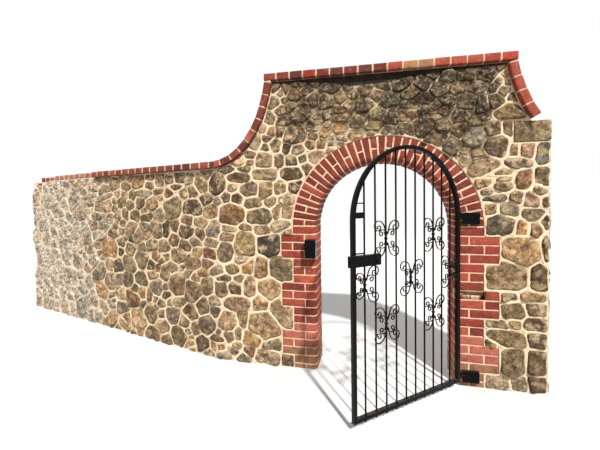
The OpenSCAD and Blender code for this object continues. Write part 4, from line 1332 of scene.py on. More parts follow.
def rounded(corners: Sequence[tuple[float, float]], radii: Sequence[float], step: float = 0.024) -> Array:
    """Gives an outline with rounded corners and extra points along its sides.

    Args:
        corners: the outline's corners, counterclockwise.
        radii: the radius of each corner.
        step: the longest distance between points along a side.

    Returns:
        The outline's points, one row each.
    """
    pts = [np.array(c, float) for c in corners]
    out: list[Array] = []
    n = len(pts)
    for i, (p, r) in enumerate(zip(pts, radii)):
        a, b = pts[i - 1] - p, pts[(i + 1) % n] - p
        a, b = a / np.linalg.norm(a), b / np.linalg.norm(b)
        half = math.acos(float(np.clip(a @ b, -1, 1))) / 2
        cut = r / math.tan(half)
        mid = p + (a + b) / np.linalg.norm(a + b) * (r / math.sin(half))
        start, stop = p + a * cut - mid, p + b * cut - mid
        parts = 2 if r < 0.01 else 8
        turn = math.atan2(start[0] * stop[1] - start[1] * stop[0], float(start @ stop))
        for k in range(parts + 1):
            t = turn * k / parts
            spin = np.array([[math.cos(t), -math.sin(t)], [math.sin(t), math.cos(t)]])
            out.append(mid + spin @ start)
    full: list[Array] = []
    for i, p in enumerate(out):
        q = out[(i + 1) % len(out)]
        count = max(1, int(math.ceil(np.linalg.norm(q - p) / step)))
        full.extend(p + (q - p) * k / count for k in range(count))
    return np.array(full)


def on_axes(plan: Array, axes: Axes) -> Array:
    """Puts an outline in space, on an origin and the first two of its three axes."""
    origin, e1, e2, _ = axes
    return origin + plan[..., :1] * e1 + plan[..., 1:] * e2


@dataclass(frozen=True)
class Uneven:
    """How far bricks lie out of line, in metres, how they lean and how their colours differ."""

    shift: float = 0.0008
    shift_most: float = 0.0009
    rise: float = 0.0006
    lean: float = 0.004
    bump: float = 0.0011
    grain: float = 0.0006
    shade: float = 0.07


UNEVEN = Uneven()
MORTAR_TINT = (220, 190, 160)


@dataclass
class BrickBond:
    """Bricks and their mortar core, gathered for one part of the brickwork."""

    name: str
    seed: int
    tones: Sequence[Tint]
    bricks: Solids = field(default_factory=Solids)
    core: Solids = field(default_factory=Solids)
    made: int = 0

    def lay(self, outline: Array, axes: Axes, height: float, taper: float = 0.0,
            tint: Sequence[float] | None = None, weather: float = 0.05, lime: float = 0.2,
            wobble: float = 1.0) -> None:
        """Lays one brick: an outline raised along a third axis, with worn edges and slightly uneven faces.

        Args:
            outline: the outline in the first two axes.
            axes: the origin and the three axes.
            height: the brick's size along the third axis, half on each side of the origin.
            taper: how much wider it grows for each metre of the first axis, as a share.
            tint: its colour; one of the bond's tones if None.
            weather: how weathered it is.
            lime: how much mortar is smeared on it.
            wobble: how far out of line it may lie, as a share of the usual.
        """
        rng = np.random.default_rng(self.seed + self.made)
        self.made += 1
        _, e1, e2, e3 = axes
        if tint is None:
            tint = self.tones[int(rng.integers(len(self.tones)))]
            shade = rng.normal(1.0, UNEVEN.shade)
            tint = [min(c * shade, 250) for c in tint]
        levels = np.array([-0.5, -0.5, -0.2, 0.2, 0.5, 0.5]) * height
        levels = levels + np.array([0.0, BRICK.worn, 0, 0, -BRICK.worn, 0.0])
        inset = np.array([BRICK.worn, 0.0, 0.0, 0.0, 0.0, BRICK.worn])
        middle = outline.mean(0)
        arm = outline - middle
        arm = arm * (1 - inset[:, None, None] / np.linalg.norm(arm, axis=1)[None, :, None].clip(0.02))
        shift = np.clip(rng.normal(0, UNEVEN.shift, 2), -UNEVEN.shift_most, UNEVEN.shift_most) * wobble
        flat = middle + arm + shift
        w = levels[:, None] * (1 + taper * flat[..., 0])
        w = w + rng.normal(0, UNEVEN.rise) * wobble
        w = w + rng.normal(0, UNEVEN.lean) * (flat[..., 0] - middle[0]) * wobble
        points = on_axes(flat, axes) + w[..., None] * e3
        bumps = noise(points, 30, self.seed) * UNEVEN.bump + noise(points, 75, self.seed + 1) * UNEVEN.grain
        away = arm[..., :1] * e1 + arm[..., 1:] * e2
        away = away / np.linalg.norm(away, axis=-1, keepdims=True)
        points = points + away * bumps[..., None] - away * UNEVEN.grain
        flip = float(np.dot(np.cross(e1, e2), e3)) < 0
        self.bricks.tube(points, tint, np.array([1.0, 1.0, 0.0, 0.0, 1.0, 1.0]), weather, lime, flip=flip)

    def fill(self, rings: Array, flip: bool = False) -> None:
        """Adds mortar behind the bricks, from rings of points."""
        self.core.tube(rings, MORTAR_TINT, 0.0, flip=flip)

    def build(self, finishes: Finishes, mortar: Mortar, slot: str, nodes: Sequence[str]) -> None:
        """Makes the bricks and the mortar, and hides the CAD nodes that they stand for."""
        piece = self.bricks.build("bricks_" + self.name, finishes.get(RED_BRICK), "wall", slot, sharp=40)
        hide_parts(*nodes)
        core = self.core.build("mortar_" + self.name, finishes.get(mortar), "wall", slot, sharp=40)
        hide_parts(*nodes)
        LOG.info("%s: %d bricks", self.name, self.made)


X_AXIS = np.array([1.0, 0.0, 0.0])
Y_AXIS = np.array([0.0, 1.0, 0.0])
Z_AXIS = np.array([0.0, 0.0, 1.0])
BRICK_TONES = ((162, 72, 55), (150, 65, 50), (170, 80, 62), (142, 62, 50), (158, 74, 58), (136, 58, 46))
COPING_TONES = ((142, 68, 54), (126, 58, 48), (156, 78, 62), (116, 58, 50), (166, 88, 68), (148, 72, 58))


def box_outline(x0: float, x1: float, y0: float, y1: float, nose: str = "") -> Array:
    """Gives a brick's plan, with the large rounded corner at the front or back of its first side if asked.

    Args:
        x0: nearest distance along the first axis.
        x1: farthest distance along the first axis.
        y0: front.
        y1: back.
        nose: "front", "back" or nothing.

    Returns:
        The outline's points.
    """
    front, back = (BRICK.nose if nose == side else BRICK.arris for side in ("front", "back"))
    return rounded([(x0, y0), (x1, y0), (x1, y1), (x0, y1)], [front, BRICK.arris, BRICK.arris, back])


def core_outline(near: float, far: float) -> Array:
    """Gives the plan of the mortar through the wall between two distances, a little behind the bricks."""
    front, back = BRICK.recess, WALL.thick - BRICK.recess
    nose = BRICK.nose - BRICK.recess
    return rounded([(near, front), (far, front), (far, back), (near, back)], [nose, 0.002, 0.002, nose])


def roughened(points: Array, fine: float, seed: int, by: float, way: Sequence[float]) -> Array:
    """Moves points along one way by noise of a fineness, a seed and a depth."""
    return points + (noise(points, fine, seed) * by)[..., None] * np.array(way)


@dataclass
class Jamb:
    """One brick jamb of the doorway, toothed into the stone beside it: side 1 is the right, -1 the left."""

    side: int
    name: str
    broken: int = -1
    bond: BrickBond = field(init=False)

    def __post_init__(self) -> None:
        """Makes the empty bond."""
        self.bond = BrickBond(self.name, 100 + self.side * 37, BRICK_TONES)

    def axes(self, z: float) -> Axes:
        """Gives the doorway's edge at a height, and the axes away from the doorway, back and up."""
        origin = np.array([self.side * WALL.door_half, 0.0, z]) - DATUM
        return origin, X_AXIS * self.side, Y_AXIS, Z_AXIS

    def plan(self, k: int) -> list[tuple[float, float, float, float, str]]:
        """Gives the bricks of a course: distances across and through the wall, and the rounded corner."""
        length, width, joint, thick = BRICK.length, BRICK.width, BRICK.joint, WALL.thick
        wide = (BRICK.courses - 2 - k) // 3 % 2 == 0
        end = length + joint + width
        if wide and k % 2 == 0:
            return [(0, width, 0, length, "front"), (width + joint, end, 0, width, ""),
                    (0, length, length + joint, thick, "back"),
                    (length + joint, end, width + joint, thick, "")]
        if wide:
            return [(0, length, 0, width, "front"), (length + joint, end, 0, length, ""),
                    (0, width, width + joint, thick, "back"),
                    (width + joint, end, length + joint, thick, "")]
        if k % 2 == 0:
            return [(0, width, 0, length, "front"), (width + joint, length, 0, length, ""),
                    (0, length, length + joint, thick, "back")]
        return [(0, length, 0, width, "front"), (0, width, width + joint, thick, "back"),
                (width + joint, length, width + joint, thick, "")]

    def stain(self, k: int) -> float:
        """Gives how much mortar and earth is smeared on a course."""
        return 0.34 if k < 3 else 0.24 if k < 6 else 0.12

    def faded(self, k: int) -> Tint | None:
        """Gives the washed-out colour of the lowest courses, or nothing higher up."""
        shade = 1 + 0.05 * math.sin(k * 5.3)
        if k < 3:
            return (168 * shade, 118 * shade, 88 * shade)
        if k < 6:
            return (182 * shade, 102 * shade, 84 * shade)
        return None

    def fill(self, plan: Array, *levels: float) -> Array:
        """Gives a plan of mortar as rings at heights."""
        return np.array([on_axes(plan, self.axes(z)) for z in levels])

    def core(self) -> None:
        """Fills the joints with mortar set a little behind the brick faces."""
        for k in range(BRICK.courses):
            if k != self.broken:
                low = BRICK.foot + k * BRICK.course
                plan = core_outline(BRICK.recess, float(tooth(np.array(low + 0.03))) - 0.001)
                points = self.fill(plan, max(0.0, low - 0.004), low + BRICK.course)
                self.bond.fill(roughened(points, 45, 9, 0.0012, (0.3, -1.0, 0.0)), flip=self.side < 0)

    def broken_course(self) -> None:
        """Lays the broken course: a hollow in the corner brick with crumbled pieces left in it."""
        foot = BRICK.foot + self.broken * BRICK.course
        z = foot + BRICK.height / 2
        for x0, x1, y0, y1, nose in WHOLE_BRICKS:
            self.bond.lay(box_outline(x0, x1, y0, y1, nose), self.axes(z), BRICK.height)
        rng = np.random.default_rng(41)
        for x, y, size, low in CRUMBS:
            angle = np.linspace(0, TURN, 9, endpoint=False)
            radius = size * rng.uniform(0.6, 1.15, 9)
            shape = np.stack([x + radius * np.cos(angle), y + radius * np.sin(angle) * 0.8], 1)
            shape[:, 1] = np.maximum(shape[:, 1], 0.004)
            tint = (206, 160, 128) if rng.random() < 0.4 else (178, 92, 70)
            height = 0.03 * rng.uniform(0.7, 1.2)
            self.bond.lay(shape, self.axes(z + low - 0.012), height, tint=tint, lime=0.6, wobble=4)
        plan = rounded(HOLLOW_CORE, [0.01] * 5)
        self.bond.fill(self.fill(plan, foot - 0.004, foot + BRICK.course), flip=self.side < 0)
        base = on_axes(rounded(HOLLOW_BED, [0.039, 0.002, 0.002, 0.002]), self.axes(foot))
        for low in (-0.012, BRICK.height + 0.001):
            rings = [base + Z_AXIS * low, base + Z_AXIS * (low + 0.012)]
            self.bond.fill(np.array(rings), flip=self.side < 0)

    def build(self, finishes: Finishes) -> None:
        """Lays the courses from the ground to the springing."""
        for k in range(BRICK.courses):
            if k == self.broken:
                self.broken_course()
                continue
            low = BRICK.foot + k * BRICK.course
            high = low + BRICK.height
            low = max(low, 0.0)
            for x0, x1, y0, y1, nose in self.plan(k):
                self.bond.lay(box_outline(x0, x1, y0, y1, nose), self.axes((low + high) / 2), high - low,
                              lime=self.stain(k), tint=self.faded(k))
        self.core()
        node = "jamb_right" if self.side > 0 else "jamb_left"
        self.bond.build(finishes, BRICK_MORTAR, "brick", [node])


# the broken course: its whole bricks, its crumbled pieces as x, y, size and height, and its mortar
WHOLE_BRICKS = ((0.225, 0.3275, 0.0, 0.215, ""), (0.0, 0.1025, 0.1125, 0.3275, "back"),
                (0.1125, 0.3275, 0.225, 0.3275, ""))
CRUMBS = ((0.045, 0.04, 0.035, 0.0), (0.095, 0.032, 0.028, -0.006), (0.15, 0.03, 0.03, -0.008),
          (0.19, 0.05, 0.026, -0.01), (0.12, 0.07, 0.05, -0.012), (0.03, 0.07, 0.03, 0.004))
HOLLOW_CORE = ((0.006, 0.075), (0.22, 0.075), (0.322, 0.02), (0.322, 0.32), (0.006, 0.29))
HOLLOW_BED = ((0.006, 0.006), (0.3265, 0.006), (0.3265, 0.2), (0.006, 0.2))


@dataclass
class Ring:
    """The brick ring over the doorway: whole wedges and pairs of halves by turns."""

    count: int = 35
    first: float = math.asin(0.02 / 0.6875) - math.asin(0.008 / 1.16)
    joint_in: float = 0.009
    joint_out: float = 0.0145
    inner: float = WALL.door_half
    outer: float = WALL.door_half + WALL.ring_depth
    darker: float = 0.89
    bond: BrickBond = field(init=False)

    def __post_init__(self) -> None:
        """Makes the empty bond."""
        self.bond = BrickBond("ring", 300, [tuple(c * self.darker for c in tone) for tone in BRICK_TONES])

    def axes(self, angle: float) -> Axes:
        """Gives the arch's middle, and the axes outward, back and round at an angle from its right."""
        origin = np.array([0.0, 0.0, WALL.spring]) - DATUM
        outward = np.array([math.cos(angle), 0.0, math.sin(angle)])
        around = np.array([-math.sin(angle), 0.0, math.cos(angle)])
        return origin, outward, Y_AXIS, around

    def plan(self, i: int) -> list[tuple[float, float, float, float, str]]:
        """Gives the bricks of a wedge: distances outward and through the wall, and the rounded corner."""
        length, width, joint, thick = BRICK.length, BRICK.width, BRICK.joint, WALL.thick
        half = self.inner + width
        if i % 2 == 1:
            return [(self.inner, self.outer, 0, width, "front"),
                    (self.inner, half, width + joint, thick, "back"),
                    (half + joint, self.outer, width + joint, thick, "")]
        return [(self.inner, half, 0, length, "front"), (half + joint, self.outer, 0, length, ""),
                (self.inner, self.outer, length + joint, thick, "back")]

    def build(self, finishes: Finishes) -> None:
        """Lays the wedges and fills the joints."""
        step = (math.pi - 2 * self.first) / self.count
        for i in range(self.count):
            axes = self.axes(self.first + step * (i + 0.5))
            for x0, x1, y0, y1, nose in self.plan(i):
                self.wedge(box_outline(x0, x1, y0, y1, nose), axes, 2 * math.sin(step / 2))
        plan = core_outline(self.inner + BRICK.recess, self.outer - 0.002)
        angles = np.linspace(self.first, math.pi - self.first, 150)
        points = np.array([on_axes(plan, self.axes(float(angle))) for angle in angles])
        self.bond.fill(self.seat(roughened(points, 45, 11, 0.0012, (0.0, -1.0, 0.0))))
        self.border()
        self.bond.bricks.points = [self.seat(p) for p in self.bond.bricks.points]
        self.bond.build(finishes, BRICK_MORTAR, "brick", ["arch_ring"])

    def border(self) -> None:
        """Points the joint between the ring and the stone, front and back, with an uneven band of mortar."""
        r = self.outer
        for face_y, sign in ((0.0, -1.0), (WALL.thick, 1.0)):
            rings = []
            for k, angle in enumerate(np.linspace(0.02, math.pi - 0.02, 120)):
                origin, e1, _, _ = self.axes(float(angle))
                wide = 0.019 + 0.006 * math.sin(k * 0.9) + 0.004 * math.sin(k * 2.3)
                shape = np.array([(r - 0.003, -0.004), (r + 0.002, 0.004), (r + wide * 0.5, 0.0065),
                                  (r + wide, 0.003), (r + wide + 0.004, -0.004)])
                rings.append(origin + shape[:, :1] * e1 + (face_y + sign * shape[:, 1:]) * Y_AXIS)
            points = roughened(np.array(rings), 40, 13, 0.0015, (0.5, 0.0, 0.5))
            self.bond.fill(self.seat(points), flip=sign < 0)

    @staticmethod
    def seat(points: Array) -> Array:
        """Keeps points above the level tops of the jambs."""
        moved = points.copy()
        moved[..., 2] = np.maximum(moved[..., 2], WALL.jamb_top)
        return moved

    def wedge(self, outline: Array, axes: Axes, wedge: float) -> None:
        """Lays one wedge; the joints beside it grow a little wider on the way out."""
        near = float(outline[:, 0].min())
        widen = (self.joint_out - self.joint_in) / WALL.ring_depth
        height = wedge * near - self.joint_in - widen * (near - WALL.door_half)
        taper = (wedge - widen) / height
        origin, e1, e2, e3 = axes
        moved = outline.copy()
        moved[:, 0] -= near
        self.bond.lay(moved, (origin + e1 * near, e1, e2, e3), height, taper=taper, lime=0.1)


HALF = BRICK.width / 2


@dataclass(frozen=True)
class Run:
    """A run of coping bricks: where each stands, how it leans, and what it looks like.

    Ends says how far the mortar goes past the first and the last brick. The clips move points of the
    bricks and of the mortar back to where they are cut. Tints are the colours of the first bricks; the
    others get one of the bond's.
    """

    places: Sequence[Place]
    face: Face
    lime: float
    ends: tuple[float, float] = (-HALF + 0.005, HALF - 0.005)
    clip: Clip | None = None
    bed_clip: Clip | None = None
    tints: Sequence[Tint] = ()
    front: float = -WALL.over
    back: float = 0.37875
    wide: float = BRICK.width

    def axes(self, place: Place) -> Axes:
        """Gives a place in space, and the axes across the wall, up from it and along it."""
        u, z, lean = place
        along = np.array(self.face.along)
        origin = np.array(self.face.origin) - DATUM + along * u + Z_AXIS * z
        normal = Z_AXIS * math.cos(lean) - along * math.sin(lean)
        tangent = along * math.cos(lean) + Z_AXIS * math.sin(lean)
        return origin, -np.array(self.face.out), normal, tangent


@dataclass
class Coping:
    """The coping: two headers side by side across the wall at each place, on a bed of mortar."""

    name: str
    nodes: Sequence[str]
    seed: int
    bond: BrickBond = field(init=False)

    def __post_init__(self) -> None:
        """Makes the empty bond."""
        self.bond = BrickBond(self.name, self.seed, COPING_TONES)

    @staticmethod
    def level(start: float, length: float, z: float, fall: float = 0.0) -> list[Place]:
        """Spaces bricks along a level or slightly falling run as the frame does."""
        count = int((length + BRICK.joint) / LEVEL_PITCH)
        pitch = (length - BRICK.width) / (count - 1)
        half = BRICK.height / 2
        c, s = math.cos(fall), math.sin(fall)
        run = [i * pitch + BRICK.width / 2 for i in range(count)]
        return [(start + along * c + half * s, z - along * s + half * c, -fall) for along in run]

    def headers(self, run: Run) -> None:
        """Lays the bricks of a run."""
        half = (run.back - run.front - BRICK.joint) / 2
        rows = ((run.front, run.front + half), (run.front + half + BRICK.joint, run.back))
        for i, place in enumerate(run.places):
            tint = run.tints[i] if i < len(run.tints) else None
            for y0, y1 in rows:
                outline = box_outline(y0, y1, -BRICK.height / 2 + 0.005, BRICK.height / 2)
                self.bond.lay(outline, run.axes(place), run.wide, tint=tint, lime=run.lime, weather=0.2,
                              wobble=1.6)
                if run.clip is not None:
                    self.bond.bricks.points[-1] = run.clip(self.bond.bricks.points[-1])

    def bed(self, run: Run) -> None:
        """Lays the mortar between and under the bricks of a run."""
        back, step, round_by = 0.007, 0.007, 0.012
        (u0, z0, lean0), (u1, z1, lean1) = run.places[0], run.places[-1]
        places = [(u0 + run.ends[0] * math.cos(lean0), z0 + run.ends[0] * math.sin(lean0), lean0)]
        for a, b in zip(run.places, run.places[1:]):
            places.append(a)
            places.append(((a[0] + b[0]) / 2, (a[1] + b[1]) / 2, (a[2] + b[2]) / 2))
        places.append(run.places[-1])
        places.append((u1 + run.ends[1] * math.cos(lean1), z1 + run.ends[1] * math.sin(lean1), lean1))
        low, high = -BRICK.height / 2, BRICK.height / 2 - back * 0.6
        front, rear = run.front + back * 0.5, run.back - back * 0.5
        inset = max((run.back - run.front - WALL.thick) / 2 - 0.006, 0.0)
        under = [(front, low), (rear, low)]
        if inset > 0.02:
            under = [(front, low + step), (front + inset, low + step), (front + inset + round_by, low),
                     (rear - inset - round_by, low), (rear - inset, low + step), (rear, low + step)]
        corners = [*under, (rear, high), (front, high)]
        plan = rounded(corners, [0.002] * len(corners), 0.05)
        mesh = np.array([on_axes(plan, run.axes(place)) for place in places])
        if run.bed_clip is not None:
            mesh = run.bed_clip(mesh)
        along = mesh[1].mean(0) - mesh[0].mean(0)
        self.bond.fill(mesh, flip=float(np.dot(np.cross(-np.array(run.face.out), Z_AXIS), along)) < 0)

    def build(self, finishes: Finishes, *runs: Run) -> None:
        """Lays the coping's runs and makes its pieces."""
        for run in runs:
            self.headers(run)
            self.bed(run)
        self.bond.build(finishes, COPING_MORTAR, "coping_brick", self.nodes)


def sweep_places(start: float, stop: float, centre: float, mirror: int) -> list[Place]:
    """Spaces bricks evenly along a sweep between two lengths of its curve.

    Args:
        start: length along the curve, from its lowest point, where the run begins.
        stop: length where it ends.
        centre: where the curve's lowest point is.
        mirror: 1 if the curve rises to the right, -1 to the left.

    Returns:
        Distance along the wall, height and lean of each brick.
    """
    count = round((stop - start) / SWEEP_PITCH)
    t = np.linspace(-10, 90, 2001)
    x = np.sin(np.radians(t)) * WALL.sweep_a
    z = -np.cos(np.radians(t)) * WALL.sweep_b
    run = np.concatenate([[0], np.cumsum(np.hypot(np.diff(x), np.diff(z)))])
    run = run - np.interp(0.0, t, run)
    out = []
    for i in range(count):
        want = start + (i + 0.5) * (stop - start) / count
        at = math.radians(float(np.interp(want, run, t)))
        c, s = math.cos(at), math.sin(at)
        lean = math.atan2(s * WALL.sweep_b, c * WALL.sweep_a)
        out.append((centre + mirror * (s * WALL.sweep_a), WALL.sweep_mid - c * WALL.sweep_b, mirror * lean))
    return out


def sweep_length(angle: float) -> float:
    """Gives the length of the sweep's curve from its lowest point to an angle in degrees."""
    t = np.radians(np.linspace(0, angle, 400))
    return float(np.sum(np.hypot(np.diff(np.sin(t) * WALL.sweep_a), np.diff(np.cos(t) * WALL.sweep_b))))


def turn_clip(side: int, gap: float = 0.005) -> Clip:
    """Gives a rule that keeps a coping on its own side of the mitre line through the turn."""
    slope = math.tan(WALL.bend_angle / 2)

    def clip(points: Array) -> Array:
        """Moves points past the mitre line back to it."""
        moved = points.copy()
        y = moved[..., 1] + DATUM[1]
        line = -WALL.bend - DATUM[0] + slope * y + side * gap
        x = moved[..., 0]
        moved[..., 0] = np.maximum(x, line) if side > 0 else np.minimum(x, line)
        return moved

    return clip


def under_high(points: Array) -> Array:
    """Keeps a sweep under the high coping, above the quoin and on its own side of the mitre line."""
    moved = points.copy()
    z = np.minimum(moved[..., 2], high_top(moved[..., 0] + DATUM[0]) - 0.0005)
    moved[..., 2] = np.where(moved[..., 0] > 0, np.maximum(z, WALL.right_stop + 0.001), z)
    return turn_clip(1)(moved)


def left_bed(points: Array) -> Array:
    """Keeps the left sweep's mortar behind the ends of its bricks at the mitre line."""
    return turn_clip(1, 0.01)(under_high(points))


LEVEL_PITCH = 0.117
SWEEP_PITCH = 0.115
HIGH_TINTS = ((152, 70, 54), (140, 62, 50), (98, 50, 46), (160, 54, 42), (126, 50, 42), (110, 58, 50),
              (124, 54, 46), (110, 58, 50), (112, 50, 42), (180, 84, 66), (190, 134, 94), (182, 128, 90),
              (180, 84, 66), (186, 84, 66), (180, 84, 66), (170, 70, 54), (182, 72, 56))


@dataclass(frozen=True)
class Copings:
    """The copings of the doorway wall and of the low wall, which ends in a flush part and a remnant."""

    near: float = 2.0
    near_run: float = 2.06
    remnant: float = 0.62
    ragged: float = 0.04
    remnant_front: float = 0.11

    def high(self, finishes: Finishes) -> None:
        """Lays the high coping over the doorway."""
        length = WALL.high_left + WALL.high_right + 2 * WALL.high_end
        places = Coping.level(-WALL.high_left - WALL.high_end, length, WALL.high, WALL.fall)
        run = Run(places, HIGH_FRONT, 0.12, tints=HIGH_TINTS, wide=0.109)
        Coping("coping_high", ["coping_high"], 500).build(finishes, run)

    def sweeps(self, finishes: Finishes) -> None:
        """Lays the sweeps on both sides of the high coping."""
        places = sweep_places(0.0, sweep_length(WALL.sweep_turn), WALL.sweep_left, 1)
        run = Run(places, HIGH_FRONT, 0.15, (-HALF, HALF + 0.04), under_high, left_bed)
        Coping("coping_sweep_left", ["coping_sweep_left"], 560).build(finishes, run)
        start, stop = sweep_length(WALL.right_foot), sweep_length(WALL.right_turn)
        places = sweep_places(start, stop, WALL.sweep_right, -1)
        tints = [(170 + 6 * (i % 3), 82, 64) for i in range(9)]
        run = Run(places, HIGH_FRONT, 0.12, (HALF + 0.004, -HALF - 0.01), under_high, under_high, tints)
        Coping("coping_sweep_right", ["coping_sweep_right"], 590).build(finishes, run)

    def low(self, finishes: Finishes) -> None:
        """Lays the low coping, its flush stretch and the remnant at the broken end."""
        places = Coping.level(-self.near, self.near_run, WALL.low)
        near = Run(places, LOW_FRONT, 0.15, (-HALF + 0.005, HALF), turn_clip(-1), turn_clip(-1, 0.01))
        bare_end = WALL.low_run - self.ragged - self.remnant
        places = Coping.level(-bare_end + 0.01, bare_end - self.near - 0.02, WALL.low)
        tints = [(178 + 9 * (i % 3), 124 + 7 * (i % 2), 104) for i in range(12)]
        bare = Run(places, LOW_FRONT, 0.45, tints=tints, front=0.0, back=WALL.thick)
        places = Coping.level(-WALL.low_run + self.ragged, self.remnant, WALL.low)
        end = Run(places, LOW_FRONT, 0.25, front=self.remnant_front, back=WALL.thick + WALL.over)
        nodes = ["coping_low", "coping_flush", "coping_remnant"]
        Coping("coping_low", nodes, 620).build(finishes, near, bare, end)

    def build(self, finishes: Finishes) -> None:
        """Builds every coping."""
        self.high(finishes)
        self.sweeps(finishes)
        self.low(finishes)


# ---------------------------------------------------------------- quoin, gate and studio


@dataclass(frozen=True)
class QuoinStone:
    """The large dressed stone that stops the right sweep, with worn edges and tooled faces."""

    right: float = 1.262
    radii: tuple[float, ...] = (0.012, 0.02, 0.022, 0.012)
    depths: tuple[float, ...] = (-0.0078, -0.0078, -0.0078, -0.0078, -0.005, 0.002, 0.02)
    shares: tuple[float, ...] = (0.25, 0.5, 0.75, 0.92, 0.975, 0.995, 1.0)
    between: int = 10
    tint: Tint = (152, 126, 90)

    def build(self, finishes: Finishes) -> None:
        """Makes the stone as rings from front to back."""
        low, high = WALL.quoin_low, WALL.right_stop
        corners = [(WALL.quoin_x, low), (self.right, low), (self.right, high), (WALL.quoin_x, high)]
        outline = rounded(corners, self.radii, 0.014)
        middle = outline.mean(0)
        solids = Solids()
        rings, rims = [], []
        depths = [*self.depths, *np.linspace(0.05, WALL.thick - 0.05, self.between),
                  *(WALL.thick - y for y in reversed(self.depths))]
        for y, share in zip(depths, [*self.shares, *[1.0] * self.between, *reversed(self.shares)]):
            flat = middle + (outline - middle) * share
            rings.append(np.stack([flat[:, 0], np.full(len(flat), y), flat[:, 1]], 1) - DATUM)
            rims.append(1.0 if 0.9 < share < 1.0 else 0.2)
        points = np.array(rings)
        push = noise(points, 9, 21) * 0.005 + noise(points, 30, 22) * 0.003
        away = points - points.reshape(-1, 3).mean(0)
        away = away / np.linalg.norm(away, axis=-1, keepdims=True)
        points = points + away * (push - 0.003)[..., None]
        solids.tube(points, self.tint, np.array(rims), 0.5, 0.1, flip=False)
        piece = solids.build("quoin", finishes.get(RUBBLE), "wall", "dressed_stone", sharp=60)
        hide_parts("quoin_stone")
        LOG.info("quoin: 1 stone")


def paint(piece: bpy.types.Object, finish: Material) -> None:
    """Gives a CAD node its finish."""
    piece.data.materials.clear()
    piece.data.materials.append(finish)


@dataclass(frozen=True)
class Ironwork:
    """The gate, its lock and its fixings: the CAD nodes keep their shape and get the black paint."""

    nodes: tuple[str, ...] = (
        "latch_keep", "hinge_block_top", "hinge_block_bottom", "hinge_stile", "lock_stile", "arch_bar",
        "bottom_rail", "gate_bars", "scrolls_top", "scrolls_middle", "scrolls_bottom", "collars",
        "lock_case", "tie_block", "hinge_eyes", "lock_bolt")

    def build(self, finishes: Finishes, shown: dict[str, bpy.types.Object]) -> None:
        """Paints the iron nodes."""
        for name in self.nodes:
            paint(shown[name], finishes.get(BLACK_PAINT))
        LOG.info("ironwork: %d nodes painted", len(self.nodes))


WHITE = (1.0, 1.0, 1.0)


